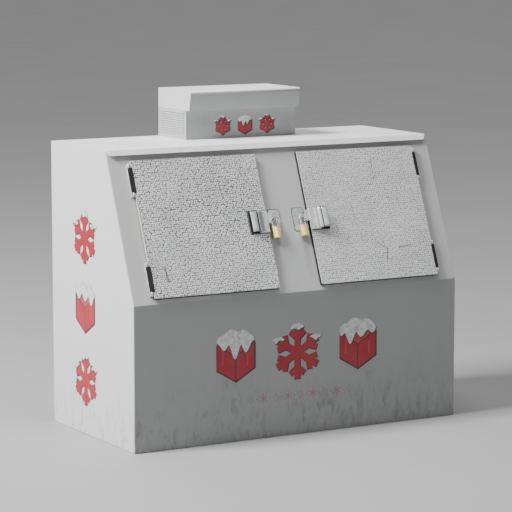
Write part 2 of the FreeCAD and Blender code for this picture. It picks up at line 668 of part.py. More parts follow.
def padlock(word, side):
    """A brass padlock hanging from the keeper's tab: bent steel shackle and solid body."""
    shackle(word, side)
    block = box(f"{word}_lock_block",
                span(side, "lock_centre - lock_width / 2", "lock_centre + lock_width / 2"),
                ("-lock_out - lock_thickness / 2", "-lock_out + lock_thickness / 2"),
                ("lock_top - lock_body_height", "lock_top"))
    soft = rounded(f"{word}_lock_soft", block, "lock_round", lambda edge: runs_along(edge, "z"))
    holes = []
    for leg, offset in (("long_leg", "shackle_radius"), ("short_leg", "-shackle_radius")):
        holes.append(rod(f"{word}_lock_{leg}_hole", "z", "shackle_wire / 2 + leg_play", f"{leg} + past",
                         along(side, f"lock_centre + {offset}"), "-lock_out", f"lock_top - {leg}"))
    whole = cut(f"{word}_lock", soft, *holes)
    lean(whole)
    keep(whole, f"{word}_padlock_body")


def shackle(word, side):
    """A U of round bar, swept along two straight legs and a half turn."""
    centre = size(along(side, "lock_centre"))
    out, arc, radius = size("lock_out"), size("shackle_arc"), size("shackle_radius")
    long_foot = Vector(centre + side * radius, -out, size("lock_top - long_leg + rest_gap"))
    short_foot = Vector(centre - side * radius, -out, size("lock_top - short_leg + rest_gap"))
    long_shoulder = Vector(long_foot.x, -out, arc)
    short_shoulder = Vector(short_foot.x, -out, arc)
    bow = Part.Arc(long_shoulder, Vector(centre, -out, arc + radius), short_shoulder).toShape()
    path = Part.Wire([Part.makeLine(long_foot, long_shoulder), bow,
                      Part.makeLine(short_shoulder, short_foot)])
    wire = Part.Wire(Part.makeCircle(size("shackle_wire / 2"), long_foot, Vector(0, 0, 1)))
    bar = DOC.addObject("Part::Feature", f"{word}_shackle")
    bar.Shape = path.makePipeShell([wire], True, True)
    lean(bar)
    keep(bar, f"{word}_padlock_shackle")


def latches():
    """Latch bases and grips for both doors: the left ones mirror the right ones."""
    base, grip = latch_base(), latch_grip()
    for word, side in SIDES:
        for source, name in ((base, "latch_base"), (grip, "latch_grip")):
            piece = source if side > 0 else mirrored(f"left_{name}_mirrored", source)
            holder = group(f"{word}_{name}_whole", piece)
            lean(holder)
            keep(holder, f"{word}_{name}")


# ---------------------------------------------------------------- housing on the roof


def cowl_panels():
    """Sheet-metal housing: tray, front, louvred sides and back."""
    tray = box("tray_sheet", ("-cowl_half + cowl_sheet", "cowl_half - cowl_sheet"),
               ("cowl_front + cowl_sheet", "cowl_back - cowl_sheet"), ("height", "tray_top"))
    port = rod("tray_port", "z", "port_radius", "wall", "port_x", "cowl_middle", "height - wall / 2")
    keep(cut("tray", tray, port), "unit_tray")
    keep(box("cowl_front_sheet", ("-cowl_half", "cowl_half"), ("cowl_front", "cowl_front + cowl_sheet"),
             ("height", "hood_foot")), "cowl_front_panel")
    left = louvred_side()
    keep(left, "cowl_left_panel")
    keep(mirrored("cowl_right", left), "cowl_right_panel")
    rear_panel_of_cowl()


def louvred_side():
    """Left side of the housing, with a bank of pressed louvres."""
    sheet = box("cowl_side_sheet", ("-cowl_half", "-cowl_half + cowl_sheet"),
                ("cowl_front + cowl_sheet", "cowl_back"), ("height", "hood_foot"))
    slots, blades = [], []
    y = ("cowl_front + louvre_inset", "cowl_back - louvre_inset")
    for number in range(int(size("louvre_count"))):
        low = f"height + louvre_foot + {number} * louvre_pitch"
        slots.append(box(f"louvre_slot_{number}", ("-cowl_half - past", "-cowl_half + cowl_sheet + past"), y,
                         (low, f"{low} + louvre_slot")))
        blade = box(f"louvre_blade_{number}", ("0", "blade_sheet"), y, ("0", "louvre_blade"))
        blade.Placement = FreeCAD.Placement(Vector(), Rotation(Vector(0, 1, 0), size("louvre_angle")))
        bind(blade, **{"Placement.Rotation.Angle": "louvre_angle"})
        place(blade, "-cowl_half - louvre_blade * sin(louvre_angle) + (cowl_sheet - blade_sheet) / 2",
              y[0], f"{low} + louvre_slot - louvre_blade * cos(louvre_angle) + blade_lift")
        blades.append(blade)
    return fuse("cowl_left", cut("cowl_side_slotted", sheet, *slots), *blades)


def rear_panel_of_cowl():
    """Back of the housing, with a bank of plain air slots."""
    sheet = box("cowl_rear_sheet", ("-cowl_half + cowl_sheet", "cowl_half - cowl_sheet"),
                ("cowl_back - cowl_sheet", "cowl_back"), ("height", "hood_foot"))
    x = ("-cowl_half + 3 * louvre_inset", "cowl_half - 3 * louvre_inset")
    slots = []
    for number in range(int(size("louvre_count"))):
        low = f"height + louvre_foot + {number} * louvre_pitch"
        slots.append(box(f"rear_slot_{number}", x, ("cowl_back - past", "cowl_back + past"),
                         (low, f"{low} + louvre_slot")))
    keep(cut("cowl_rear", sheet, *slots), "cowl_rear_panel")


def hood():
    """The hood over the housing: its front leans out over the box and its top edge is rounded."""
    low_front, top_front = "cowl_front - hood_reach_low", "cowl_front - hood_reach_top"
    outline = [("cowl_back", "hood_foot"), (low_front, "hood_foot"), (top_front, "hood_top"),
               ("cowl_back", "hood_top")]
    outside = profile("hood_outside", "YZ_Plane", outline, "cowl_width", True)
    front_edge = size(top_front)
    soft = rounded("hood_soft", outside, "hood_round",
                   lambda edge: runs_along(edge, "x") and edge.BoundBox.YMax < front_edge + HAIR)
    inline = [
        ("cowl_back - cowl_sheet", "hood_foot - past"),
        ("cowl_front + cowl_sheet", "hood_foot - past"),
        ("cowl_front + cowl_sheet", "hood_foot + cowl_sheet"),
        (f"{low_front} + cowl_sheet", "hood_foot + cowl_sheet"),
        (f"{top_front} + cowl_sheet", "hood_top - cowl_sheet"),
        ("cowl_back - cowl_sheet", "hood_top - cowl_sheet"),
    ]
    inside = profile("hood_inside", "YZ_Plane", inline, "cowl_width - 2 * cowl_sheet", True)
    inner_edge = size(f"{top_front} + cowl_sheet")
    inside_soft = rounded("hood_inside_soft", inside, "hood_round - cowl_sheet",
                          lambda edge: runs_along(edge, "x") and edge.BoundBox.YMax < inner_edge + HAIR)
    keep(cut("hood", soft, inside_soft), "cowl_hood")


def cowl_screws():
    """Round-headed screws along the side seams, heads outside."""
    screws = []
    for word, side in SIDES:
        start = "cowl_half" if side > 0 else "-cowl_half - screw_head"
        for end, y in (("front", "cowl_front + screw_foot"), ("back", "cowl_back - screw_foot")):
            for level, z in (("low", "height + screw_foot"), ("high", "hood_foot - screw_top")):
                screws.append(rod(f"{word}_{end}_{level}_screw", "x", "screw_radius", "screw_head",
                                  start, y, z))
    keep(group("screws", *screws), "cowl_screws")


# ---------------------------------------------------------------- condensing unit


def condenser_coil(y, z):
    """Straight tubes along Y through a pack of upright fins."""
    fins, tubes = [], []
    count, rows = int(size("fin_count")), int(size("tube_rows"))
    x = ("coil_x", "coil_x + coil_depth")
    for number in range(count):
        at = f"{y[0]} + ({y[1]} - ({y[0]}) - fin_sheet) * {number} / {count - 1}"
        fins.append(box(f"condenser_fin_{number}", x, (at, f"{at} + fin_sheet"), z))
    for column in (1, 3):
        for row in range(rows):
            tubes.append(rod(f"condenser_tube_{column}_{row}", "y", "tube_radius",
                             f"{y[1]} - ({y[0]}) + 2 * tube_reach", f"coil_x + coil_depth * {column} / 4",
                             f"{y[0]} - tube_reach", f"{z[0]} + coil_height * {2 * row + 1} / {2 * rows}"))
    return fuse("condenser", *fins, *tubes)


def fan(name, radius, chord, place_at, axis):
    """Hub and pitched blades, turning about X or Y; the bore runs on the motor's shaft."""
    hub = rod(f"{name}_hub", "z", "hub_radius", "hub_length")
    blades = []
    count = int(size("blade_count"))
    for number in range(count):
        blade = DOC.addObject("Part::Box", f"{name}_blade_{number}")
        bind(blade, Length=chord, Width="blade_thick", Height=radius)
        pitch = Rotation(Vector(0, 0, 1), size("blade_pitch"))
        upright = Rotation(Vector(1, 0, 0), 90)
        spoke = Rotation(Vector(0, 0, 1), 360 * number / count)
        start = Vector(size(f"-({chord}) / 2"), size("-blade_thick / 2"), 0)
        turn = spoke * upright * pitch
        blade.Placement = FreeCAD.Placement(turn.multVec(start) + Vector(0, 0, size("hub_length / 2")), turn)
        blades.append(blade)
    disc = rod(f"{name}_disc", "z", radius, "hub_length * 3", z="-hub_length")
    whole = fuse(f"{name}_union", hub, common(f"{name}_blades", fuse(f"{name}_blade_union", *blades), disc))
    bore = rod(f"{name}_bore", "z", "shaft_radius + shaft_play", "hub_length * 4", z="-hub_length * 2")
    wheel = cut(f"{name}_wheel", whole, bore)
    wheel.Placement = FreeCAD.Placement(Vector(), TURNS[axis])
    place(wheel, *place_at)
    return wheel


def condensing_unit():
    """Condenser coil, fan shroud, fan and fan motor, in line along X."""
    y = ("cowl_front + coil_inset", "cowl_back - coil_inset")
    z = ("tray_top", "tray_top + coil_height")
    keep(condenser_coil(y, z), "condenser_coil")
    plate = box("shroud_plate", ("shroud_x", "shroud_x + shroud_sheet"), y, z)
    mouth = rod("shroud_mouth", "x", "fan_radius + fan_play", "wall", "shroud_x - wall / 2",
                "cowl_middle", "fan_z")
    collar = rod("shroud_collar", "x", "fan_radius + fan_play + shroud_sheet", "shroud_ring", "shroud_x",
                 "cowl_middle", "fan_z")
    keep(cut("shroud", fuse("shroud_union", plate, collar), mouth), "fan_shroud")
    wheel = fan("condenser_wheel", "fan_radius", "blade_chord", ("fan_x", "cowl_middle", "fan_z"), "x")
    keep(wheel, "condenser_fan")
    motor = rod("motor_can", "x", "motor_radius", "motor_length", "motor_x", "cowl_middle", "fan_z")
    shaft = rod("motor_shaft", "x", "shaft_radius", "motor_gap + hub_length", "fan_x", "cowl_middle",
                "fan_z")
    motor_middle = "motor_x + motor_length / 2"
    post = box("motor_post", (f"{motor_middle} - bracket_width / 2", f"{motor_middle} + bracket_width / 2"),
               ("cowl_middle - bracket_width", "cowl_middle + bracket_width"), ("tray_top", "fan_z"))
    keep(fuse("motor", motor, shaft, post), "condenser_fan_motor")


def compressor():
    """Welded dome compressor on a foot plate with four rubber grommets."""
    x, y = "compressor_x", "cowl_middle"
    can = rod("compressor_can", "z", "compressor_radius", "compressor_body", x, y, "dome_low")
    dome = rounded("compressor_dome", can, "dome_round", lambda edge: True)
    foot = box("compressor_foot", (f"{x} - foot_reach", f"{x} + foot_reach"),
               (f"{y} - foot_reach", f"{y} + foot_reach"), ("foot_low", "dome_low"))
    neck = rod("compressor_neck", "z", "compressor_radius - dome_round", "foot_sheet + dome_round", x, y,
               "foot_low")
    grommets = []
    for number, (side_x, side_y) in enumerate(((-1, -1), (-1, 1), (1, -1), (1, 1))):
        grommets.append(rod(f"grommet_{number}", "z", "grommet_radius", "grommet_height",
                            f"{x} + {side_x} * (foot_reach - grommet_inset)",
                            f"{y} + {side_y} * (foot_reach - grommet_inset)", "tray_top"))
    keep(fuse("compressor_whole", dome, foot, neck), "compressor")
    keep(group("grommets", *grommets), "compressor_mounts")


def pipe(name, points):
    """Rigid tube through the points given, with its bends rounded."""
    places = [Vector(*[size(text) for text in point]) for point in points]
    bend = size("line_bend")
    edges, start = [], places[0]
    for before, corner, after in zip(places, places[1:], places[2:]):
        inwards, outwards = (corner - before).normalize(), (after - corner).normalize()
        entry, leave = corner - inwards * bend, corner + outwards * bend
        middle = corner + (outwards - inwards).normalize() * bend * (2 ** 0.5 - 1)
        edges += [Part.makeLine(start, entry), Part.Arc(entry, middle, leave).toShape()]
        start = leave
    edges.append(Part.makeLine(start, places[-1]))
    path = Part.Wire(edges)
    ring = Part.Wire(Part.makeCircle(size("line_radius"), places[0], places[1] - places[0]))
    tube = DOC.addObject("Part::Feature", name)
    tube.Shape = path.makePipeShell([ring], True, True)
    return tube


def refrigerant_circuit():
    """Filter drier and the copper lines between compressor, condenser and evaporator."""
    low, high = "tray_top + drier_lift", "tray_top + drier_lift + drier_length"
    keep(rod("drier", "z", "drier_radius", "drier_length", "drier_x", "drier_y", low), "filter_drier")
    coil_end, back_y, foot = "shroud_x + shroud_sheet", "cowl_back - drier_lift", "tray_top + drier_lift / 2"
    above_dome, above_drier = "dome_top + line_rise", f"{high} + line_rise"
    supply_x, suction_x = "port_x - line_spacing / 2", "port_x + line_spacing / 2"
    header_front = "evap_coil_front - header_radius"
    supply_z, suction_z = "evap_fan_z + line_rise", "evap_fan_z - line_rise"
    return_z = "(dome_low + dome_top) / 2"
    discharge = pipe("discharge_line", [
        ("compressor_x", "cowl_middle", "dome_top"),
        ("compressor_x", "cowl_middle", above_dome),
        ("compressor_x", back_y, above_dome),
        (coil_end, back_y, above_dome),
    ])
    liquid = pipe("liquid_line", [
        (coil_end, "drier_y", foot),
        ("drier_x", "drier_y", foot),
        ("drier_x", "drier_y", low),
    ])
    supply = pipe("supply_line", [
        ("drier_x", "drier_y", high),
        ("drier_x", "drier_y", above_drier),
        (supply_x, "drier_y", above_drier),
        (supply_x, "cowl_middle", above_drier),
        (supply_x, "cowl_middle", supply_z),
        (supply_x, header_front, supply_z),
    ])
    suction = pipe("suction_line", [
        (suction_x, header_front, suction_z),
        (suction_x, "cowl_middle", suction_z),
        (suction_x, "cowl_middle", return_z),
        ("compressor_x - compressor_radius", "cowl_middle", return_z),
    ])
    keep(group("lines", discharge, liquid, supply, suction), "refrigerant_lines")


def controls():
    """Control box with the thermostat's dial on its front."""
    x = ("cowl_half - cowl_sheet - control_width", "cowl_half - cowl_sheet")
    y = ("cowl_middle - control_depth / 2", "cowl_middle + control_depth / 2")
    case = box("control_case", x, y, ("tray_top", "tray_top + control_height"))
    soft = rounded("control_soft", case, "control_round", lambda edge: runs_along(edge, "z"))
    at_x, at_z = "cowl_half - cowl_sheet - control_width / 2", "tray_top + control_height * 3 / 5"
    stem_end = f"{y[0]} - dial_height"
    stem = rod("control_stem", "y", "dial_stem", "dial_height", at_x, stem_end, at_z)
    keep(fuse("control", soft, stem), "control_box")
    dial_front = f"{stem_end} - rest_gap"
    knob = rod("dial_body", "y", "dial_radius", "dial_height", at_x, dial_front, at_z)
    pointer = box("dial_pointer", (f"{at_x} - pointer_width / 2", f"{at_x} + pointer_width / 2"),
                  (f"{dial_front} - pointer_height", dial_front),
                  (f"{at_z} - dial_radius + pointer_edge", f"{at_z} + dial_radius - pointer_edge"))
    bore = rod("dial_bore", "y", "dial_stem + shaft_play", "dial_height", at_x, stem_end, at_z)
    keep(cut("dial", fuse("dial_union", knob, pointer), bore), "thermostat_dial")


# ---------------------------------------------------------------- evaporator


def evaporator():
    """Finned coil and fan in a case under the ceiling, with a drain hole in its floor."""
    evaporator_case()
    keep(evaporator_coil(("-evap_width / 2 + evap_coil_side", "evap_width / 2 - evap_coil_side")),
         "evaporator_coil")
    fan_y = "evap_front + evap_fan_gap"
    motor_y = f"{fan_y} + hub_length + motor_gap"
    hanger_y = f"{motor_y} + hanger_gap"
    motor = rod("evap_motor", "y", "evap_motor_radius", "evap_motor_length", "0", motor_y, "evap_fan_z")
    shaft = rod("evap_shaft", "y", "shaft_radius", "motor_gap + hub_length", "0", fan_y, "evap_fan_z")
    hanger = box("evap_hanger", ("-bracket_width / 2", "bracket_width / 2"),
                 (hanger_y, f"{hanger_y} + bracket_width"), ("evap_fan_z", "ceiling"))
    keep(fuse("evap_motor_whole", motor, shaft, hanger), "evaporator_fan_motor")
    keep(fan("evap_wheel", "evap_fan_radius", "evap_chord", ("0", fan_y, "evap_fan_z"), "y"),
         "evaporator_fan")


def evaporator_case():
    x, y, z = ("-evap_width / 2", "evap_width / 2"), ("evap_front", "inside_back"), ("evap_foot", "ceiling")
    case = box("evap_block", x, y, z)
    hollow = box("evap_hollow", (f"{x[0]} + evap_sheet", f"{x[1]} - evap_sheet"),
                 (f"{y[0]} + evap_sheet", f"{y[1]} + past"), (f"{z[0]} + evap_sheet", f"{z[1]} + past"))
    mouth = rod("evap_mouth", "y", "evap_fan_radius + fan_play", "2 * past", "0", "evap_front - past",
                "evap_fan_z")
    drain = rod("evap_drain", "z", "drain_bore", "2 * past", f"{x[0]} + drain_side",
                "inside_back - drain_back", "evap_foot - past")
    slots = []
    for end, word in zip(x, ("left", "right")):
        for number in range(int(size("evap_slot_count"))):
            start = f"{y[0]} + evap_slot_pitch * {number + 1}"
            slots.append(box(f"evap_slot_{word}_{number}", (f"{end} - past", f"{end} + past"),
                             (start, f"{start} + evap_slot_width"),
                             (f"{z[0]} + evap_slot_edge", f"{z[1]} - evap_slot_edge")))
    keep(cut("evap_case", case, hollow, mouth, drain, *slots), "evaporator_case")


def evaporator_coil(x):
    """Upright fins on tubes along X, with a supply and a suction header across its front."""
    y, z = ("evap_coil_front", "evap_coil_front + evap_coil_depth"), ("evap_coil_low", "ceiling")
    pieces = []
    count, rows = int(size("fin_count")), int(size("evap_coil_rows"))
    for number in range(count):
        at = f"{x[0]} + ({x[1]} - ({x[0]}) - fin_sheet) * {number} / {count - 1}"
        pieces.append(box(f"evap_fin_{number}", (at, f"{at} + fin_sheet"), y, z))
    for column in (1, 3):
        for row in range(rows):
            pieces.append(rod(f"evap_tube_{column}_{row}", "x", "tube_radius",
                              f"{x[1]} - ({x[0]}) + 2 * tube_reach", f"{x[0]} - tube_reach",
                              f"{y[0]} + evap_coil_depth * {column} / 4",
                              f"{z[0]} + ({z[1]} - {z[0]}) * {2 * row + 1} / {2 * rows}"))
    for word, at in (("supply", "evap_fan_z + line_rise"), ("suction", "evap_fan_z - line_rise")):
        pieces.append(rod(f"evap_header_{word}", "x", "header_radius", f"{x[1]} - ({x[0]})", x[0], y[0], at))
    return fuse("evap_coil", *pieces)


def check_document():
    """Stop before anything is written if an object failed or a sub-part is no valid solid."""
    DOC.recompute()
    for thing in DOC.Objects:
        if {"Invalid", "Error"} & set(thing.State):
            raise RuntimeError(f"{thing.Name} failed: {thing.State}")
    for part in SUB_PARTS:
        if part.Shape.isNull() or not part.Shape.isValid() or not part.Shape.Solids:
            raise RuntimeError(f"{part.Label} has no valid solid")


def write_steps():
    os.makedirs("parts", exist_ok=True)
    for part in SUB_PARTS:
        part.Shape.exportStep(f"parts/{part.Label}.step")
        print(f"{part.Label}: {len(part.Shape.Solids)} solid(s), {part.Shape.Volume / 1000:.1f} cm3")


fill_sheet()
base_skids()
outer_panels()
door_surround()
roof_panel()
insulation()
face_insulation()
inner_liner()
breaker_frames()
floor_rack()
hinges()
for door_word, door_side in SIDES:
    door(door_word, door_side)
    hinge_barrels(door_word, door_side)
    padlock(door_word, door_side)
keepers()
latches()
cowl_panels()
hood()
cowl_screws()
condensing_unit()
compressor()
refrigerant_circuit()
controls()
evaporator()
check_document()
write_steps()
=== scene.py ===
"""Looks for the slant-front ice merchandiser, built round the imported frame.

Sizes are in metres. Pieces on the slanted face are built upright, with x along the front, -y out of
the face and z up its slope from the fold, and are then laid back by LEAN.
"""
import json
import math

import bmesh
import bpy
import numpy as np
from mathutils import Matrix, Vector, noise


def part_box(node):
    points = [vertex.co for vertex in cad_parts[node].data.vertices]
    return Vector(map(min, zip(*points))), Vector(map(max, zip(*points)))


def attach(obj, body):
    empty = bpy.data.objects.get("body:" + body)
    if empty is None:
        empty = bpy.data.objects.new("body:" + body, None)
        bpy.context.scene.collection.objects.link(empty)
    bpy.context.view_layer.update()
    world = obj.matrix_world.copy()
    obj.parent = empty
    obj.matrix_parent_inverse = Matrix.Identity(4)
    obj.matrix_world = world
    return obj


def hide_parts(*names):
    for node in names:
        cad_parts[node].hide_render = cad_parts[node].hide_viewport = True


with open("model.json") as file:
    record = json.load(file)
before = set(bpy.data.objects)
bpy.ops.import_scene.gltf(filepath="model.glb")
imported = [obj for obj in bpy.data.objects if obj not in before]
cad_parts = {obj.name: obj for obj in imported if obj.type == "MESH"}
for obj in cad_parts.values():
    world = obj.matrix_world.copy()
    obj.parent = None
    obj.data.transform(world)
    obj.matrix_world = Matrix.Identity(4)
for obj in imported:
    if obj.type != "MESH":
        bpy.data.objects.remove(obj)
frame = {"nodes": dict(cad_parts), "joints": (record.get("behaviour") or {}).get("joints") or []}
for start_object in ("Cube", "Light", "Camera"):
    if start_object in bpy.data.objects:
        bpy.data.objects.remove(bpy.data.objects[start_object])
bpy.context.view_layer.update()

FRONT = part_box("lower_front_panel")[0].y
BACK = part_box("rear_panel")[1].y
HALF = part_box("rear_panel")[1].x
FOLD = 0.715
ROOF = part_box("roof_panel")[1].z
SKIN = 0.0015
SWING = [joint for joint in frame["joints"] if joint["name"] == "right_door_swing"][0]
SLANT = math.atan2(SWING["axis"][1], SWING["axis"][2])
LEAN = Matrix.Translation((0, FRONT, FOLD)) @ Matrix.Rotation(-SLANT, 4, "X")
SLOPE = (ROOF - FOLD) / math.cos(SLANT)
SIDES = (("left", -1), ("right", 1))

DOOR_INNER = 0.120
DOOR_OUTER = 0.815
DOOR_FOOT = 0.024
DOOR_TOP = 0.712
DOOR_PROUD = 0.018
DOOR_X, DOOR_Z = (DOOR_OUTER + DOOR_INNER) / 2, (DOOR_TOP + DOOR_FOOT) / 2
DOOR_HALF_X, DOOR_HALF_Z = (DOOR_OUTER - DOOR_INNER) / 2, (DOOR_TOP - DOOR_FOOT) / 2


# ---------------------------------------------------------------- materials


class Shade:
    """A small helper that builds one node material."""

    def __init__(self, name):
        self.material = bpy.data.materials.new(name)
        self.material.use_nodes = True
        self.tree = self.material.node_tree
        self.shader = self.tree.nodes["Principled BSDF"]
        self.place = self.add("ShaderNodeTexCoord").outputs["Object"]

    def add(self, kind, **settings):
        node = self.tree.nodes.new(kind)
        for key, value in settings.items():
            setattr(node, key, value)
        return node

    def feed(self, socket, value):
        if isinstance(value, bpy.types.NodeSocket):
            self.tree.links.new(value, socket)
        else:
            socket.default_value = value

    def stretched(self, scale, turn=(0, 0, 0)):
        """Object coordinates, stretched and turned."""
        node = self.add("ShaderNodeMapping")
        self.feed(node.inputs["Vector"], self.place)
        node.inputs["Scale"].default_value = scale
        node.inputs["Rotation"].default_value = turn
        return node.outputs["Vector"]

    def noise(self, scale, detail=3.0, rough=0.5, vector=None, distortion=0.0):
        node = self.add("ShaderNodeTexNoise")
        self.feed(node.inputs["Vector"], vector or self.place)
        settings = {"Scale": scale, "Detail": detail, "Roughness": rough, "Distortion": distortion}
        for name, number in settings.items():
            node.inputs[name].default_value = number
        return node.outputs["Fac"]

    def cells(self, scale):
        node = self.add("ShaderNodeTexVoronoi")
        self.feed(node.inputs["Vector"], self.place)
        node.inputs["Scale"].default_value = scale
        return node.outputs["Distance"]

    def ramp(self, value, low, high, low_out=0.0, high_out=1.0):
        """A smooth step from one output to the other between two values."""
        node = self.add("ShaderNodeMapRange", interpolation_type="SMOOTHSTEP")
        settings = {"From Min": low, "From Max": high, "To Min": low_out, "To Max": high_out}
        for name, number in settings.items():
            node.inputs[name].default_value = number
        self.feed(node.inputs["Value"], value)
        return node.outputs["Result"]

    def math(self, operation, first, second=0.0):
        node = self.add("ShaderNodeMath", operation=operation)
        self.feed(node.inputs[0], first)
        self.feed(node.inputs[1], second)
        return node.outputs[0]

    def times(self, first, second):
        return self.math("MULTIPLY", first, second)

    def mix(self, factor, first, second):
        node = self.add("ShaderNodeMix", data_type="RGBA")
        self.feed(node.inputs["Factor"], factor)
        for socket, value in ((node.inputs[6], first), (node.inputs[7], second)):
            self.feed(socket, value if isinstance(value, bpy.types.NodeSocket) else (*value, 1.0))
        return node.outputs[2]

    def over(self, mask, share, color, tint):
        """A tint laid over a colour where a mask shows, as strongly as its share."""
        return self.mix(self.times(mask, share), color, tint)

    def axis(self, letter, vector=None):
        node = self.add("ShaderNodeSeparateXYZ")
        self.feed(node.inputs[0], vector or self.place)
        return node.outputs[letter]

    def attribute(self, name):
        return self.add("ShaderNodeAttribute", attribute_name=name).outputs["Fac"]

    def bump(self, height, strength, distance, below=None):
        node = self.add("ShaderNodeBump")
        node.inputs["Strength"].default_value = strength
        node.inputs["Distance"].default_value = distance
        self.feed(node.inputs["Height"], height)
        if below is not None:
            self.feed(node.inputs["Normal"], below)
        return node.outputs["Normal"]

    def finish(self, color, roughness, metallic, normal=None, **constants):
        self.feed(self.shader.inputs["Base Color"], color)
        self.feed(self.shader.inputs["Roughness"], roughness)
        self.shader.inputs["Metallic"].default_value = metallic
        if normal is not None:
            self.feed(self.shader.inputs["Normal"], normal)
        for key, value in constants.items():
            self.shader.inputs[key.replace("_", " ")].default_value = value
        return self.material


def cool(level, step=0.005):
    """A grey with a trace of blue."""
    return (level, level + step, level + 2 * step)


def toned(color, share):
    """A colour made darker or lighter, never past white."""
    return tuple(min(1.0, channel * share) for channel in color)


def lit_and_shaded_by_facing(s, white, front, top):
    """Painted light and shade by facing: the white is painted darker on faces turned to the front, as shade,
    and lighter on faces turned up, as light.
    """
    normal = s.add("ShaderNodeNewGeometry").outputs["Normal"]
    color = s.mix(s.ramp(s.axis("Y", normal), -0.5, -0.9), white, front)
    return s.mix(s.ramp(s.axis("Z", normal), 0.5, 0.9), color, top)


def darker_foot_and_dirt(s, color, height, white, streaks):
    """Darker towards a sheet's foot, with smears, dark runs and rubbed pale patches that gather there."""
    # Darker towards the foot.
    color = s.mix(s.ramp(height, 0.80, 0.05, 0.0, 0.17), color, toned(white, 0.45))
    smears = s.noise(1.0, 5, 0.62, s.stretched((11, 11, 3.2)), 0.5)
    smeared = s.times(s.ramp(smears, 0.50, 0.74), s.ramp(height, 0.62, 0.10))
    color = s.over(smeared, streaks * 0.45, color, toned(white, 0.62))
    runs = s.noise(1.0, 4, 0.62, s.stretched((27, 27, 9)), 0.6)
    fine_runs = s.noise(1.0, 4, 0.66, s.stretched((85, 85, 24)), 0.4)
    reach = s.math("ADD", height, s.times(s.noise(4.4, 3, 0.6), -0.90))
    dirt = s.times(s.ramp(runs, 0.48, 0.64), s.ramp(fine_runs, 0.34, 0.60, 0.35, 1.0))
    dirt = s.math("ADD", dirt, s.times(s.ramp(fine_runs, 0.56, 0.68), 0.45))
    dirt = s.times(s.math("MINIMUM", dirt, 1.0), s.ramp(reach, -0.12, -0.36))
    color = s.over(dirt, streaks, color, (0.17, 0.168, 0.160))
    rubbed = s.times(s.ramp(s.noise(13, 5, 0.65), 0.58, 0.70), s.ramp(height, 0.26, 0.05))
    return s.over(rubbed, streaks * 0.7, color, toned(white, 1.12))


def lock_runs_and_shade(s):
    """Soft dark runs on the middle post, below the two padlocks: partly dirt runs, partly painted shade under
    the locks.
    """
    away = s.math("ABSOLUTE", s.math("SUBTRACT", s.math("ABSOLUTE", s.axis("X")), 0.082))
    wander = s.times(s.noise(1.0, 4, 0.6, s.stretched((60, 60, 9))), 0.020)
    narrow = s.ramp(s.math("ADD", away, wander), 0.038, 0.012)
    below = s.times(s.ramp(s.axis("Z"), 0.985, 0.955), s.ramp(s.axis("Z"), 0.73, 0.90))
    return s.times(narrow, below)


def painted_steel(name, white, streaks, foot=0.0, dust=0.0, drips=0.0, by_side=False):
    """White enamel on sheet steel: orange peel, soft stains and dirt that runs down near the foot."""
    s = Shade(name)
    cloud = s.noise(2.2, 4, 0.55)
    # On the hood, the white gets painted shade on its front faces and painted light on its top.
    clean = lit_and_shaded_by_facing(s, white, HOOD_FRONT_SHADE, ROOF_WHITE_LIT) if by_side else white
    color = s.over(s.ramp(cloud, 0.42, 0.72), 0.35, clean, toned(white, 0.90))
    color = darker_foot_and_dirt(s, color, s.math("SUBTRACT", s.axis("Z"), foot), white, streaks)
    specks = s.times(s.ramp(s.cells(230), 0.10, 0.03), s.ramp(s.noise(9, 2), 0.60, 0.70))
    color = s.over(specks, 0.35, color, (0.20, 0.19, 0.17))
    # Dark runs below the padlocks: partly dirt, partly painted shade under the locks.
    if drips:
        color = s.over(lock_runs_and_shade(s), drips, color, (0.20, 0.195, 0.185))
    if dust:
        color = s.over(s.ramp(s.noise(6, 5, 0.6), 0.45, 0.75), dust, color, (0.52, 0.50, 0.46))
    rough = s.ramp(cloud, 0.3, 0.7, 0.36, 0.50)
    peel = s.bump(s.noise(420, 2), 0.10, 0.0006)
    return s.finish(color, rough, 0.0, peel, Specular_IOR_Level=0.5, Coat_Weight=0.15, Coat_Roughness=0.3)


def embossed_aluminium(name, relief_shade, streak):
    """Stucco-embossed aluminium: painted shade, near black, in the grooves and pits, in soft patches; rolled
    lines, scratches and scuffs.
    """
    s = Shade(name)
    grain = s.noise(1.0, 4, 0.6, s.stretched((9, 420, 420)))
    cloud = s.noise(4.5, 4, 0.6)
    fine = s.noise(700, 2)
    base = s.mix(s.ramp(cloud, 0.35, 0.70), cool(0.97), cool(0.88))
    base = s.over(s.ramp(grain, 0.42, 0.62), streak, base, cool(0.50))
    base = s.over(s.ramp(fine, 0.4, 0.65), 0.12, base, (0.45, 0.45, 0.45))
    # Pebbles darker at random by their tone, by as much as the door's painted shade allows.
    base = s.over(s.ramp(s.attribute("tone"), 0.55, 0.0), relief_shade * 0.28, base, (0.30, 0.303, 0.31))
    patches = s.noise(3.4, 4, 0.6, s.stretched((1.0, 1.0, 0.8), (0, 0.5, 0)))
    pits = s.times(s.ramp(patches, 0.34, 0.64, 0.72, 1.0), relief_shade)
    # Painted shade: the grooves and pits are darkened to near black, more or less in soft patches.
    base = s.over(s.attribute("valley_shade"), pits, base, (0.030, 0.031, 0.033))
    base = s.over(s.attribute("scratch"), 0.85, base, (0.06, 0.06, 0.06))
    scuffs = s.noise(1.0, 5, 0.7, s.stretched((26, 9, 9), (0.3, 0.5, 0.2)))
    scuffed = s.times(s.ramp(scuffs, 0.62, 0.70), s.ramp(s.noise(7, 2), 0.52, 0.64))
    base = s.over(scuffed, 0.30, base, (0.16, 0.16, 0.155))
    normal = s.bump(fine, 0.25, 0.0005, s.bump(grain, 0.12, 0.0004))
    return s.finish(base, s.ramp(cloud, 0.3, 0.75, 0.34, 0.52), 0.10, normal, Specular_IOR_Level=0.5)


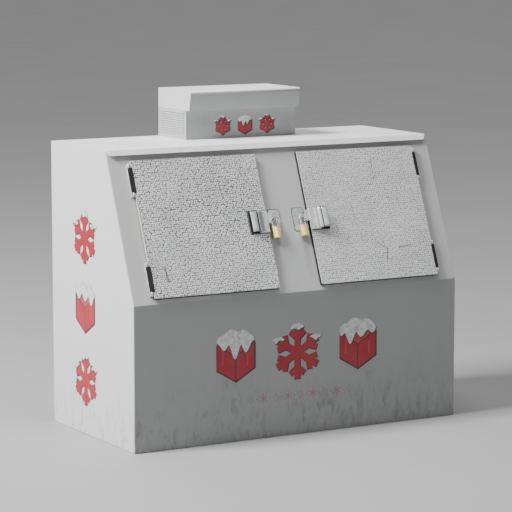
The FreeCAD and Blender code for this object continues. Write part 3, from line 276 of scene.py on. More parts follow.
def zinc(name, color, rough, grime, metallic):
    """Zinc-plated or cast hardware: cloudy plating, fine scratches and dirt in patches."""
    s = Shade(name)
    cloud = s.noise(60, 4, 0.6)
    fine = s.noise(1.0, 3, 0.6, s.stretched((900, 900, 90)))
    tint = s.mix(s.ramp(cloud, 0.35, 0.70), color, toned(color, 0.72))
    tint = s.over(s.ramp(s.noise(160, 5, 0.7), 0.55, 0.75), grime, tint, toned(color, 0.28))
    normal = s.bump(fine, 0.12, 0.0002, s.bump(s.noise(300, 3), 0.15, 0.0004))
    return s.finish(tint, s.ramp(cloud, 0.3, 0.7, rough, rough + 0.16), metallic, normal)


def brass(name):
    """Brass with fine brushed lines, slightly tarnished in soft clouds."""
    s = Shade(name)
    cloud = s.noise(34, 3, 0.5)
    tint = s.mix(s.ramp(cloud, 0.38, 0.72), (0.96, 0.80, 0.40), (0.88, 0.68, 0.28))
    lines = s.noise(1.0, 2, 0.5, s.stretched((900, 900, 30)))
    tint = s.over(s.ramp(lines, 0.45, 0.62), 0.14, tint, (0.66, 0.46, 0.16))
    return s.finish(tint, s.ramp(cloud, 0.3, 0.7, 0.28, 0.36), 0.80, s.bump(lines, 0.04, 0.0001))


def chrome(name):
    """Plated shackle steel, dulled in patches."""
    s = Shade(name)
    cloud = s.noise(140, 3, 0.6)
    tint = s.mix(s.ramp(cloud, 0.45, 0.75), cool(0.62, 0.01), (0.30, 0.30, 0.30))
    return s.finish(tint, s.ramp(cloud, 0.3, 0.8, 0.12, 0.32), 1.0, s.bump(s.noise(500, 2), 0.08, 0.0002))


def moulded(name, color, rough, grain=900, depth=0.25, dusty=1.35, cloud_scale=18):
    """Plastic, rubber or thick paint with a fine grain and slightly dusty patches."""
    s = Shade(name)
    cloud = s.noise(cloud_scale, 3, 0.6)
    dust = tuple(min(1.0, channel * dusty + 0.012) for channel in color)
    tint = s.mix(s.ramp(cloud, 0.35, 0.75), color, dust)
    roughness = s.ramp(cloud, 0.3, 0.7, rough - 0.06, rough + 0.1)
    return s.finish(tint, roughness, 0.0, s.bump(s.noise(grain, 2), depth, 0.0003), Specular_IOR_Level=0.2)


def enamel(name, color, worn):
    """Vinyl or enamel motif: slight fading, fine chips and a soft gloss."""
    s = Shade(name)
    fade = s.ramp(s.noise(7, 4, 0.6), 0.35, 0.75)
    tint = s.over(fade, 0.45, color, worn)
    chips = s.times(s.ramp(s.noise(240, 4, 0.7), 0.66, 0.72), s.ramp(s.noise(22, 2), 0.50, 0.62))
    tint = s.over(chips, 0.55, tint, (0.62, 0.60, 0.58))
    return s.finish(tint, s.ramp(fade, 0.0, 1.0, 0.34, 0.48), 0.0, s.bump(s.noise(380, 2), 0.06, 0.0004))


def frost(name):
    """White frost and snow on the motifs, shaded a little grey in its folds."""
    s = Shade(name)
    folds = s.noise(38, 4, 0.65, distortion=0.6)
    tint = s.mix(s.ramp(folds, 0.42, 0.66), (0.80, 0.82, 0.82), (0.50, 0.55, 0.56))
    return s.finish(tint, 0.55, 0.0, s.bump(folds, 0.12, 0.001))


def wood(name):
    """Rack slats: long rings and short dark pores."""
    s = Shade(name)
    rings = s.noise(1.0, 6, 0.6, s.stretched((2.2, 46, 46)), 0.8)
    pores = s.noise(1.0, 3, 0.6, s.stretched((16, 380, 380)))
    tint = s.mix(s.ramp(rings, 0.35, 0.65), (0.56, 0.39, 0.22), (0.36, 0.22, 0.11))
    tint = s.over(s.ramp(pores, 0.55, 0.70), 0.5, tint, (0.20, 0.12, 0.06))
    return s.finish(tint, 0.62, 0.0, s.bump(pores, 0.3, 0.0006))


def foam(name):
    """Yellowish insulation with small cells."""
    s = Shade(name)
    cells = s.cells(520)
    tint = s.mix(s.ramp(cells, 0.2, 0.7), (0.78, 0.70, 0.48), (0.60, 0.50, 0.30))
    return s.finish(tint, 0.85, 0.0, s.bump(cells, 0.4, 0.0008))


def brushed(name, color, axis_scale, rough=0.34):
    """Brushed or rolled sheet metal: long grain along one axis."""
    s = Shade(name)
    grain = s.noise(1.0, 3, 0.6, s.stretched(axis_scale))
    cloud = s.noise(5, 4, 0.6)
    tint = s.mix(s.ramp(cloud, 0.35, 0.72), color, toned(color, 0.82))
    tint = s.over(s.ramp(grain, 0.40, 0.65), 0.25, tint, toned(color, 0.7))
    return s.finish(tint, s.ramp(cloud, 0.3, 0.7, rough, rough + 0.14), 0.55, s.bump(grain, 0.15, 0.0003))


def studio_floor(name):
    """Pale, plain studio floor."""
    s = Shade(name)
    tint = s.mix(s.ramp(s.noise(0.8, 3), 0.3, 0.7), (0.36, 0.36, 0.36), (0.345, 0.345, 0.345))
    return s.finish(tint, 0.6, 0.0)


# Painted shade for the hood's front faces, and painted light for the roof and the hood's top.
HOOD_FRONT_SHADE = cool(0.39)
ROOF_WHITE_LIT = cool(0.93)
CLEAN_HEIGHT = -2.0
HOUSING_FOOT = ROOF - 0.12
# The painted steel is one white enamel; its whites below are lit and shaded copies of it: the lower front,
# the face, the housing, its front and the hood are painted darker as shade, and the roof lighter as light.
RECIPES = {
    "front_paint": (painted_steel, cool(0.42), 0.50),
    "side_paint": (painted_steel, cool(0.80), 0.28),
    "face_paint": (painted_steel, cool(0.58), 0.12, FOLD - 0.25, 0.0, 0.30),
    "roof_paint": (painted_steel, ROOF_WHITE_LIT, 0.0, CLEAN_HEIGHT, 0.15),
    "cowl_paint": (painted_steel, cool(0.52), 0.10, HOUSING_FOOT),
    "cowl_front_paint": (painted_steel, cool(0.43), 0.10, HOUSING_FOOT),
    "hood_paint": (painted_steel, cool(0.66), 0.0, CLEAN_HEIGHT, 0.12, 0.0, True),
    # The left door gets stronger painted shade in its grooves and pits than the right, as the light grazes it
    # more.
    "left_stucco": (embossed_aluminium, 1.0, 0.15),
    "right_stucco": (embossed_aluminium, 0.66, 0.34),
    "zinc_steel": (zinc, cool(0.60, 0.01), 0.40, 0.5, 0.5),
    "hinge_steel": (zinc, cool(0.84, 0.01), 0.38, 0.25, 0.4),
    "latch_metal": (zinc, cool(0.70, 0.01), 0.36, 0.42, 0.45),
    "lock_brass": (brass,),
    "shackle_steel": (chrome,),
    "black_nylon": (moulded, (0.012, 0.012, 0.013), 0.42),
    "black_rubber": (moulded, (0.016, 0.016, 0.017), 0.68, 500, 0.35),
    "pale_plastic": (moulded, cool(0.70, 0.01), 0.45, 600, 0.15, 1.05, 6),
    "black_paint": (moulded, (0.020, 0.020, 0.022), 0.35, 500, 0.3),
    "grey_paint": (moulded, cool(0.30, 0.01), 0.4, 500, 0.25),
    "red_enamel": (enamel, (0.42, 0.020, 0.034), (0.50, 0.07, 0.08)),
    "light_red_enamel": (enamel, (0.50, 0.055, 0.075), (0.58, 0.14, 0.15)),
    "faded_red": (enamel, (0.38, 0.22, 0.23), (0.42, 0.30, 0.31)),
    "dark_outline": (enamel, (0.035, 0.03, 0.035), (0.10, 0.09, 0.09)),
    "frost_white": (frost,),
    "slat_wood": (wood,),
    "foam": (foam,),
    "liner_aluminium": (brushed, cool(0.74, 0.01), (5, 300, 300)),
    "fin_aluminium": (brushed, cool(0.70, 0.01), (300, 300, 8)),
    "copper": (brushed, (0.72, 0.36, 0.22), (200, 200, 200), 0.28),
}
MATERIALS = {name: maker(name, *details) for name, (maker, *details) in RECIPES.items()}


# ---------------------------------------------------------------- mesh helpers


def placed(name, data):
    """A new object in the scene."""
    thing = bpy.data.objects.new(name, data)
    bpy.context.scene.collection.objects.link(thing)
    return thing


def made(name, mesh, material, body, replaces=(), lean=False):
    """Put a finished mesh in the scene as one piece that rides on a CAD body."""
    piece = placed(name, mesh)
    if lean:
        mesh.transform(LEAN)
    for each in material if isinstance(material, (list, tuple)) else (material,):
        mesh.materials.append(MATERIALS[each])
    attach(piece, body)
    if replaces:
        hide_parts(*replaces)
    return piece


def shaded(mesh, degrees):
    """Shade a mesh smooth, with sharp edges above an angle."""
    mesh.polygons.foreach_set("use_smooth", [True] * len(mesh.polygons))
    mesh.set_sharp_from_angle(angle=math.radians(degrees))
    return mesh


def built(name, shape, degrees, material, body, replaces=(), lean=True):
    """Turn a bmesh into one piece, laid back with the slanted face unless lean is False."""
    bmesh.ops.recalc_face_normals(shape, faces=shape.faces)
    mesh = bpy.data.meshes.new(name)
    shape.to_mesh(mesh)
    shape.free()
    return made(name, shaded(mesh, degrees), material, body, replaces, lean)


def edited(mesh, change):
    """Run one change on a mesh as a bmesh."""
    shape = bmesh.new()
    shape.from_mesh(mesh)
    change(shape)
    shape.to_mesh(mesh)
    shape.free()
    return mesh


def block(shape, low, high):
    """Add a box between two corners."""
    low, high = Vector(low), Vector(high)
    middle, span = (low + high) / 2, high - low
    for vertex in bmesh.ops.create_cube(shape, size=1.0)["verts"]:
        vertex.co = Vector(tuple(middle[i] + vertex.co[i] * span[i] for i in range(3)))


def side_block(shape, side, across, out, up):
    """Add a box from its pairs of x, y and z; the x pair is mirrored on the left side."""
    block(shape, *zip(sorted(side * x for x in across), out, up))


def turned(shape, outline, axis_point, direction, steps):
    """Add a solid of revolution: outline holds (distance along the axis, radius) pairs."""
    direction = Vector(direction).normalized()
    across = direction.orthogonal().normalized()
    other = direction.cross(across)
    rings = []
    for distance, radius in outline:
        centre = Vector(axis_point) + direction * distance
        if radius == 0:
            rings.append([shape.verts.new(centre)])
            continue
        angles = [2 * math.pi * step / steps for step in range(steps)]
        rings.append([shape.verts.new(centre + (across * math.cos(a) + other * math.sin(a)) * radius)
                      for a in angles])
    for first, second in zip(rings, rings[1:]):
        for step in range(steps):
            follow = (step + 1) % steps
            corners = [first[step % len(first)], first[follow % len(first)],
                       second[follow % len(second)], second[step % len(second)]]
            unique = list(dict.fromkeys(corners))
            if len(unique) > 2:
                shape.faces.new(unique)
    for ring in (rings[0], rings[-1]):
        if len(ring) > 2:
            shape.faces.new(ring)


def walls(shape, first, second):
    """Join two closed loops of vertices by a band of faces."""
    for number in range(len(first)):
        follow = (number + 1) % len(first)
        shape.faces.new((first[number], first[follow], second[follow], second[number]))


def swept(shape, outline, low, high):
    """Add a closed (x, y) outline drawn out along z between two heights."""
    bottom = [shape.verts.new((x, y, low)) for x, y in outline]
    top = [shape.verts.new((x, y, high)) for x, y in outline]
    walls(shape, bottom, top)
    shape.faces.new(bottom[::-1])
    shape.faces.new(top)


def raised(shape, side, outline, back, front):
    """Add a pad with an (x, z) outline between two depths, open at its back."""
    foot = [shape.verts.new((side * x, back, z)) for x, z in outline]
    top = [shape.verts.new((side * x, front, z)) for x, z in outline]
    walls(shape, foot, top)
    shape.faces.new(top)


def arc(centre, radius, start, end, steps):
    """Points on an arc, angles in degrees."""
    angles = [math.radians(start + (end - start) * step / steps) for step in range(steps + 1)]
    return [(centre[0] + radius * math.cos(a), centre[1] + radius * math.sin(a)) for a in angles]


def rounded_rectangle(low_x, high_x, low_y, high_y, radius, steps=5):
    """Closed outline with round corners, anticlockwise."""
    corners = ((high_x - radius, high_y - radius, 0), (low_x + radius, high_y - radius, 90),
               (low_x + radius, low_y + radius, 180), (high_x - radius, low_y + radius, 270))
    return [point for x, y, start in corners for point in arc((x, y), radius, start, start + 90, steps)]


def softened(piece, width, segments=2, angle=30):
    """Bevel the edges that are sharper than an angle, by modifier."""
    bevel = piece.modifiers.new("soft_edges", "BEVEL")
    bevel.width = width
    bevel.segments = segments
    bevel.limit_method = "ANGLE"
    bevel.angle_limit = math.radians(angle)
    bevel.harden_normals = True


def welded(node, width):
    """Soften a CAD node's edges by modifiers: weld its facets together, then bevel."""
    weld = frame["nodes"][node].modifiers.new("weld", "WELD")
    weld.merge_threshold = 1e-5
    softened(frame["nodes"][node], width)


def thickened(piece, thickness, offset=-1.0):
    """Give a sheet its thickness; the offset says on which side of its surface."""
    solid = piece.modifiers.new("sheet", "SOLIDIFY")
    solid.thickness = thickness
    solid.offset = offset
    flat = piece.modifiers.new("flat_sheet", "WEIGHTED_NORMAL")
    flat.keep_sharp = True


def grid_faces(width, height):
    """Faces of a grid of points that are listed row by row."""
    corners = [row * width + column for row in range(height - 1) for column in range(width - 1)]
    return [(corner, corner + 1, corner + width + 1, corner + width) for corner in corners]


def grid_mesh(name, rows, degrees=35):
    """A surface through equally long rows of points."""
    mesh = bpy.data.meshes.new(name)
    mesh.from_pydata([point for row in rows for point in row], [], grid_faces(len(rows[0]), len(rows)))
    return shaded(mesh, degrees)


def steps_between(low, high, count):
    """Evenly spaced values from low to high, both included."""
    return [low + (high - low) * number / count for number in range(count + 1)]


def wave(place, scale, seed):
    """A smooth value from 0 to 1 that stands for the buckling of thin sheet."""
    return 0.5 + 0.5 * noise.noise(Vector(place) * scale + Vector((seed, seed * 0.7, -seed)))


def edge_fade(value, low, high, reach):
    """0 at both ends of a stretch, 1 once it is reach away from them."""
    return max(0.0, min(1.0, (value - low) / reach, (high - value) / reach))


# ---------------------------------------------------------------- cabinet skins

FOLD_RADIUS = 0.0035
CORNER_RADIUS = 0.0035
FLANGE = 0.006
SEAM = 0.0002
BUCKLE = 0.0007
SIDE_BUCKLE = BUCKLE * 0.6
SIDE_INSET = 0.0009
GROUND_GAP = 0.002
DOORWAY_INSET = 0.034
FOLD_TANGENT = FOLD_RADIUS * math.tan(SLANT / 2)


def front_sink(x, z):
    """How deep the lower front sheet buckles at a place."""
    fade = edge_fade(x, -HALF, HALF, 0.10) * edge_fade(z, 0, FOLD, 0.24)
    return BUCKLE * wave((x, 0, z), 2.3, 3.1) * fade


def side_sink(side, y, z):
    """How deep a side sheet buckles at a place."""
    start = FRONT + FLANGE + max(0.0, z - FOLD) * math.tan(SLANT)
    fade = edge_fade(y, start, BACK, 0.06) * edge_fade(z, 0, ROOF, 0.06)
    return SIDE_INSET + SIDE_BUCKLE * wave((side, y, z), 2.4, 11.0) * fade


def front_columns(extra=()):
    """(x, depth behind the front) from the left flange round both corners to the right one."""
    corner = [(-HALF, FLANGE)] + arc((-HALF + CORNER_RADIUS, CORNER_RADIUS), CORNER_RADIUS, 180, 270, 4)
    middle = sorted({*steps_between(-HALF + CORNER_RADIUS, HALF - CORNER_RADIUS, 48)[1:-1], *extra})
    return corner + [(x, 0.0) for x in middle] + [(-x, depth) for x, depth in corner[::-1]]


def front_sheet():
    """Lower front skin, its sides folded back round the corners."""
    rows = [[(x, FRONT + depth + front_sink(x, z), z) for x, depth in front_columns()]
            for z in steps_between(GROUND_GAP, FOLD - FOLD_TANGENT, 18)]
    sheet = made("front_sheet", grid_mesh("front_sheet", rows), "front_paint", "cabinet",
                 ["lower_front_panel"])
    thickened(sheet, SKIN)


def face_path(low, high):
    """Up the slanted face: (depth, height, share of the buckling, slant) from the fold to the roof."""
    path = []
    turn = math.degrees(SLANT)
    for depth, height in arc((FOLD_RADIUS, FOLD - FOLD_TANGENT), FOLD_RADIUS, 180, 180 - turn, 3):
        path.append((depth, height, 0.0, 0.0))
    for up in (*steps_between(low, high, 14), SLOPE - SKIN / math.cos(SLANT)):
        path.append((up * math.sin(SLANT), FOLD + up * math.cos(SLANT), edge_fade(up, 0, SLOPE, 0.05), SLANT))
    return path


def face_sheet():
    """Slanted skin round the two doorways, folded over the top of the lower front."""
    left, right = DOOR_INNER + DOORWAY_INSET, DOOR_OUTER - DOORWAY_INSET
    low, high = DOOR_FOOT + DOORWAY_INSET, DOOR_TOP - DOORWAY_INSET
    rows = []
    for depth, height, share, slant in face_path(low, high):
        row = []
        for x, back in front_columns((left, right, -left, -right)):
            offset = back + BUCKLE * wave((x, 1, height), 2.6, 7.4) * share * edge_fade(x, -HALF, HALF, 0.05)
            row.append((x, FRONT + depth + offset * math.cos(slant), height - offset * math.sin(slant)))
        rows.append(row)

    def in_doorway(face):
        middle = face.calc_center_median()
        return left < abs(middle.x) < right and low < (middle.z - FOLD) / math.cos(SLANT) < high

    mesh = edited(grid_mesh("face_sheet", rows), lambda shape: bmesh.ops.delete(
        shape, geom=[face for face in shape.faces if in_doorway(face)], context="FACES"))
    sheet = made("face_sheet", mesh, "face_paint", "cabinet", ["door_surround"])
    thickened(sheet, SKIN)


def side_sheet(word, side):
    """One side skin, from just behind the folded corner to the back."""
    rows = []
    for z in sorted(steps_between(GROUND_GAP, ROOF - SKIN, 28) + [FOLD]):
        start = FRONT + FLANGE + SEAM + max(0.0, z - FOLD) * math.tan(SLANT)
        row = [(side * (HALF - side_sink(side, y, z)), y, z) for y in steps_between(start, BACK - SKIN, 20)]
        rows.append(row if side < 0 else row[::-1])
    mesh = grid_mesh(word + "_side_sheet", rows)
    sheet = made(word + "_side_sheet", mesh, "side_paint", "cabinet", [word + "_side_panel"])
    thickened(sheet, SKIN, 1.0)


LIP_MITRE = 0.027
LIP_DROP = 0.026
LIP_BEND = 0.004
LIP_CREST = 0.40


def roof_edge_line(inset, mitre_start, crest):
    """Right-hand half of the roof's front outline, moved inwards: (x, y) at the side and at the mitre."""
    along = (crest - mitre_start).normalized()
    inward = Vector((-along.y, along.x)) if along.y > 0 else Vector((along.y, -along.x))
    moved = mitre_start + inward * inset
    side = moved + along * ((mitre_start.x - moved.x) / along.x)
    corner = moved + along * ((crest.y + inset - moved.y) / along.y)
    return [side, corner]


def roof_sheet():
    """Roof skin whose front edge is rounded and turned down as a slanted drip lip with mitred ends."""
    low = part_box("roof_panel")[0]
    roof_front = FRONT + (ROOF - FOLD) * math.tan(SLANT)
    start = Vector((HALF - SIDE_INSET, roof_front))
    crest = Vector((HALF - LIP_MITRE * LIP_CREST, roof_front - (roof_front - low.y) * LIP_CREST))
    lines = [([Vector((start.x, BACK)), Vector((crest.x, BACK))], ROOF)]
    for turn in steps_between(0, 90, 5):
        angle = math.radians(turn)
        inset = LIP_BEND * (1 - math.sin(angle))
        lines.append((roof_edge_line(inset, start, crest), ROOF - LIP_BEND * (1 - math.cos(angle))))
    lines.append(([start, Vector((HALF - LIP_MITRE, low.y))], ROOF - LIP_DROP))
    rows = []
    for (side, corner), height in lines:
        right = [(side.x, side.y, height), (corner.x, corner.y, height)]
        rows.append(right + [(-x, y, z) for x, y, z in right[::-1]])
    sheet = made("roof_sheet", grid_mesh("roof_sheet", rows), "roof_paint", "cabinet",
                 ["roof_panel"])
    thickened(sheet, SKIN * 0.9)


# ---------------------------------------------------------------- doors

EMBOSS_PITCH = 0.0124
ROW_PITCH = EMBOSS_PITCH * 0.86
EMBOSS_CELLS = 130
PEBBLE_JITTER = 0.46
GROOVE_WIDTH = 0.38
GROOVE_SHADE = 0.44
PIT_START = 0.40
PIT_WIDTH = 0.15
PEBBLE_REACH = 0.64
LEFT_SCRATCHES = ((-0.263, -0.195, -0.256, -0.268, 0.0048), (-0.262, -0.221, -0.268, -0.252, 0.0030),
                  (0.245, 0.262, 0.250, 0.236, 0.0020))
RIGHT_SCRATCHES = ((0.075, -0.190, 0.062, -0.248, 0.0036), (0.014, -0.144, 0.075, -0.190, 0.0018),
                   (0.145, -0.186, 0.215, -0.180, 0.0032), (0.083, 0.296, 0.075, 0.158, 0.0018),
                   (-0.089, 0.062, -0.082, -0.048, 0.0018))
DOOR_CORNER = 0.007
DOOR_EDGE = 0.002
FLAT_X, FLAT_Z = DOOR_HALF_X - DOOR_EDGE, DOOR_HALF_Z - DOOR_EDGE
EMBOSS_FADE = 0.0025
# The door's rolled rim gets painted shade, so that it does not read as a bright edge.
RIM_VALUES = {"valley_shade": 0.55, "tone": 0.5, "scratch": 0.0}
GASKET_OUT = 0.0158


def embossing(x, z, seed):
    """Each point's depth down its pebble, its share of painted shade in the grooves and pits, from 0 to 1,
    and its pebble's tone.
    """
    random = np.random.default_rng(seed)
    jitter = random.random((EMBOSS_CELLS, EMBOSS_CELLS, 2)) * PEBBLE_JITTER + (1.0 - PEBBLE_JITTER) / 2
    u, v = x / EMBOSS_PITCH + 8.0, z / ROW_PITCH + 8.0
    column, row = np.floor(u).astype(int), np.floor(v).astype(int)
    shade = random.random((EMBOSS_CELLS, EMBOSS_CELLS))
    near = np.full(x.shape, 9.0)
    second = np.full(x.shape, 9.0)
    tone = np.zeros(x.shape)
    for across in (-2, -1, 0, 1, 2):
        for up in (-2, -1, 0, 1, 2):
            i, j = column + across, row + up
            cell = (i % EMBOSS_CELLS, j % EMBOSS_CELLS)
            spot = jitter[cell]
            distance = np.hypot(i + spot[..., 0] + 0.5 * (j % 2) - u, j + spot[..., 1] - v)
            second = np.minimum(np.maximum(near, distance), second)
            tone = np.where(distance < near, shade[cell], tone)
            near = np.minimum(near, distance)
    groove = np.clip(1.0 - (second - near) / GROOVE_WIDTH, 0.0, 1.0)
    pit = np.clip((near - PIT_START) / PIT_WIDTH, 0.0, 1.0)
    depth = np.clip(near / PEBBLE_REACH, 0.0, 1.0) ** 2
    return depth, np.clip(GROOVE_SHADE * groove + pit, 0.0, 1.0), tone


def scratched(x, z, scratches):
    """1 along each scratch from one place to another on the door, 0 elsewhere."""
    found = np.zeros(x.shape)
    for start_x, start_z, end_x, end_z, width in scratches:
        along_x, along_z = end_x - start_x, end_z - start_z
        length = math.hypot(along_x, along_z)
        share = np.clip(((x - start_x) * along_x + (z - start_z) * along_z) / length ** 2, 0.0, 1.0)
        distance = np.hypot(x - start_x - share * along_x, z - start_z - share * along_z)
        found = np.maximum(found, np.clip(1.3 - distance / width, 0.0, 1.0))
    return found


def rounded_corner(x, z, radius):
    """Pull a point of the door's flat front onto its rounded corner."""
    inner_x, inner_z = FLAT_X - radius, FLAT_Z - radius
    if abs(x) <= inner_x or abs(z) <= inner_z:
        return x, z
    over = Vector((abs(x) - inner_x, abs(z) - inner_z))
    share = max(over) / over.length
    return (math.copysign(inner_x + over.x * share, x), math.copysign(inner_z + over.y * share, z))


def rim_direction(x, z):
    """Which way the door's rim faces at a point of its outline."""
    return Vector((math.copysign(max(abs(x) - FLAT_X + DOOR_CORNER, 0), x),
                   math.copysign(max(abs(z) - FLAT_Z + DOOR_CORNER, 0), z))).normalized()


def edge_loop(count):
    """Numbers of the points round the edge of a square grid, anticlockwise."""
    last = count - 1
    loop = list(range(count)) + [row * count + last for row in range(1, count)]
    loop += [last * count + column for column in range(last - 1, -1, -1)]
    return loop + [row * count for row in range(last - 1, 0, -1)]


def door_front(depth, seed, scratches, count):
    """The pebbled front about the door's middle, row by row: its points, and three values for each."""
    x, z = np.meshgrid(np.linspace(-FLAT_X, FLAT_X, count), np.linspace(-FLAT_Z, FLAT_Z, count))
    fall, valley_shade, tone = embossing(x + 0.5, z + 0.5, seed)
    fade = np.clip(np.minimum(FLAT_X - np.abs(x), FLAT_Z - np.abs(z)) / EMBOSS_FADE, 0.0, 1.0)
    sink = depth * np.minimum(fall + 0.25 * tone, 1.0) * fade
    points = []
    for point_x, point_z, sunk in zip(x.flat, z.flat, sink.flat):
        point_x, point_z = rounded_corner(point_x, point_z, DOOR_CORNER - DOOR_EDGE)
        points.append((point_x, -DOOR_PROUD + sunk, point_z))
    return points, {"valley_shade": valley_shade, "tone": tone, "scratch": scratched(x, z, scratches)}


def door_sheet(word, side, depth, seed, scratches):
    """Embossed door skin: a pan with rounded corners and edges and a pebbled front."""
    count = 400
    points, values = door_front(depth, seed, scratches, count)
    faces = grid_faces(count, count)
    loop = edge_loop(count)
    previous = loop
    edge = -DOOR_PROUD + DOOR_EDGE
    for out, up in arc((0.0, 0.0), DOOR_EDGE, 90, 0, 3)[1:] + [(DOOR_EDGE, edge + GASKET_OUT)]:
        ring = [len(points) + number for number in range(len(loop))]
        for x, _, z in [points[number] for number in loop]:
            away = rim_direction(x, z)
            points.append((x + away.x * out, edge - up, z + away.y * out))
        for number in range(len(loop)):
            follow = (number + 1) % len(loop)
            faces.append((previous[number], previous[follow], ring[follow], ring[number]))
        previous = ring
    mesh = bpy.data.meshes.new(word + "_door_sheet")
    mesh.from_pydata([(side * DOOR_X + x, y, DOOR_Z + z) for x, y, z in points], [], faces)
    for label, found in values.items():
        rim = np.full(len(points) - count * count, RIM_VALUES[label])
        column = np.append(found.ravel(), rim).astype(np.float32)
        mesh.attributes.new(label, "FLOAT", "POINT").data.foreach_set("value", column)
    edited(mesh, lambda shape: bmesh.ops.recalc_face_normals(shape, faces=shape.faces))
    made(word + "_door_sheet", shaded(mesh, 50), word + "_stucco", word + "_door",
         [word + "_door_skin"], lean=True)


# ---------------------------------------------------------------- latches

CASE_OUTER = 0.162
GRIP_START = 0.1634
GRIP_CREST = 0.1795
SLIT = 0.0085
GRIP_END = 0.2200
LATCH_FOOT = 0.306
LATCH_TOP = 0.418
GRIP_LOW, GRIP_HIGH = LATCH_FOOT + 0.0043, LATCH_TOP - 0.0043
PAD_INNER = 0.1735
PLATE_OUTER = 0.226
PLATE_INSET = 0.0004
BED_MARGIN = 0.0034
PLATE_PROUD = 0.0205
CASE_PROUD = 0.0285
GRIP_TOP = 0.0445
COVER_OUT = 0.0325
SHEET_OUT = GRIP_TOP - 0.0010
PIVOT_X = 0.1663
PIVOT_OUT = 0.030
PIVOT_RADIUS = 0.0028
PIVOT_REACH = 0.0033
SADDLE = ((0.145, -0.0005), (0.146, 0.0003), (0.150, 0.0007), (0.154, 0.0015), (0.158, 0.0027),
          (CASE_OUTER, 0.0042), (CASE_OUTER + 0.0004, 0.0036), (CASE_OUTER + 0.0004, -0.0040))
KEEPER_PAD = (0.0354, 0.1026, 0.3072, 0.4278, 0.010)


def strip_through(shape, side, run, low, high, ends):
    """A sheet through (x, out) points, drawn out up the door, its two ends pulled in a little."""
    heights = steps_between(low, high, 12)
    previous = None
    for x, out in run:
        line = []
        for up in heights:
            share = abs(2 * (up - low) / (high - low) - 1)
            line.append(shape.verts.new((side * x, -out + ends * share ** 8, up)))
        if previous:
            for number in range(len(heights) - 1):
                shape.faces.new((previous[number], previous[number + 1], line[number + 1], line[number]))
        previous = line


def grip(word, side):
    """The pull: an S-curved cover up to its crest, a slit, then a rounded ribbon; a black block under them is
    painted shade that makes the slit dark.
    """
    cover = []
    for share in steps_between(0, 1, 8):
        ease = share * share * (3 - 2 * share)
        x = GRIP_START + (GRIP_CREST - GRIP_START) * share
        cover.append((x, COVER_OUT + (SHEET_OUT - COVER_OUT) * ease))
    cover.append((GRIP_CREST + 0.0012, SHEET_OUT - 0.0008))
    edge = GRIP_CREST + SLIT
    ribbon = [(edge, GRIP_TOP - 0.0060), (edge + 0.0005, GRIP_TOP - 0.0032),
              (edge + 0.0022, GRIP_TOP - 0.0014), (edge + 0.0050, SHEET_OUT), (GRIP_END - 0.0090, SHEET_OUT)]
    ribbon += arc((GRIP_END - 0.0060, GRIP_TOP - 0.0068), 0.0058, 75, 0, 5)
    shape = bmesh.new()
    strip_through(shape, side, cover, GRIP_LOW, GRIP_HIGH, 0.0010)
    strip_through(shape, side, ribbon, GRIP_LOW + 0.0015, GRIP_HIGH - 0.0015, 0.0012)
    strip = built(word + "_grip_strip", shape, 45, "latch_metal", word + "_grip")
    thickened(strip, 0.0018, 0.0)
    softened(strip, 0.0006)
    # Painted shade: a black block under the slit and the ribbon makes them show dark; the pivot pin is added
    # with it.
    core = bmesh.new()
    side_block(core, side, (GRIP_CREST - 0.004, GRIP_CREST + 0.022), (-GRIP_TOP + 0.0030, -GRIP_TOP + 0.0090),
               (GRIP_LOW + 0.004, GRIP_HIGH - 0.004))
    length = GRIP_HIGH - GRIP_LOW + 2 * PIVOT_REACH
    turned(core, ((0, PIVOT_RADIUS), (length, PIVOT_RADIUS)),
           (side * PIVOT_X, -PIVOT_OUT, GRIP_LOW - PIVOT_REACH), (0, 0, 1), 16)
    web = built(word + "_grip_core", core, 35, "black_nylon", word + "_grip",
                [word + "_latch_grip"])
    softened(web, 0.0008)


def latch_trim(word, side):
    """Pieces on the latch base: a rising saddle beside the pull, and two thin black sheets as painted shade:
    a bed that shows as a dark line round the latch, and a pad on the plate in the hollow under the pull.
    """
    shape = bmesh.new()
    swept(shape, [(side * x, -CASE_PROUD - out) for x, out in SADDLE], GRIP_LOW, GRIP_HIGH)
    saddle = built(word + "_latch_saddle", shape, 35, "latch_metal", word + "_door")
    softened(saddle, 0.0004)
    pad = bmesh.new()
    # Painted shade: a black bed that shows as a dark line round the latch.
    side_block(pad, side, (DOOR_INNER + 0.0010, PLATE_OUTER + BED_MARGIN),
               (-DOOR_PROUD - 0.0012, -DOOR_PROUD + 0.0002),
               (LATCH_FOOT - BED_MARGIN, LATCH_TOP + BED_MARGIN))
    # Painted shade: a black pad on the plate, in the hollow under the pull.
    side_block(pad, side, (PAD_INNER, PLATE_OUTER - PLATE_INSET),
               (-PLATE_PROUD - 0.0006, -PLATE_PROUD + 0.0010),
               (LATCH_FOOT + PLATE_INSET, LATCH_TOP - PLATE_INSET))
    piece = built(word + "_latch_pad", pad, 35, "black_rubber", word + "_door")
    softened(piece, 0.0003, 1)


def keeper_pads():
    """Thin black sealing pads round the keepers, which also stand in for the shade at the keepers' edges as a
    dark line.
    """
    shape = bmesh.new()
    for _, side in SIDES:
        raised(shape, side, rounded_rectangle(*KEEPER_PAD), 0.0002, -0.0016)
    piece = built("keeper_pads", shape, 35, "black_rubber", "cabinet")
    softened(piece, 0.0005)


# ---------------------------------------------------------------- padlocks

LOCK_X = 0.080
LOCK_OUT = 0.0133
LOCK_FOOT = 0.276
LOCK_TOP = 0.336
LOCK_WIDTH = 0.046
LOCK_DEPTH = 0.020
LOCK_ROUND = 0.0008
LOCK_DOME = 0.0022
LINE_X = 0.0150
SHACKLE_HALF = 0.0135
COLLAR = ((-0.0005, 0.0036), (-0.0005, 0.0049), (0.0004, 0.0049), (0.0009, 0.0044), (0.0009, 0.0036))
KEY_PLUG = ((-0.0006, 0.0), (-0.0006, 0.0068), (0.0006, 0.0068), (0.0010, 0.0062), (0.0010, 0.0))


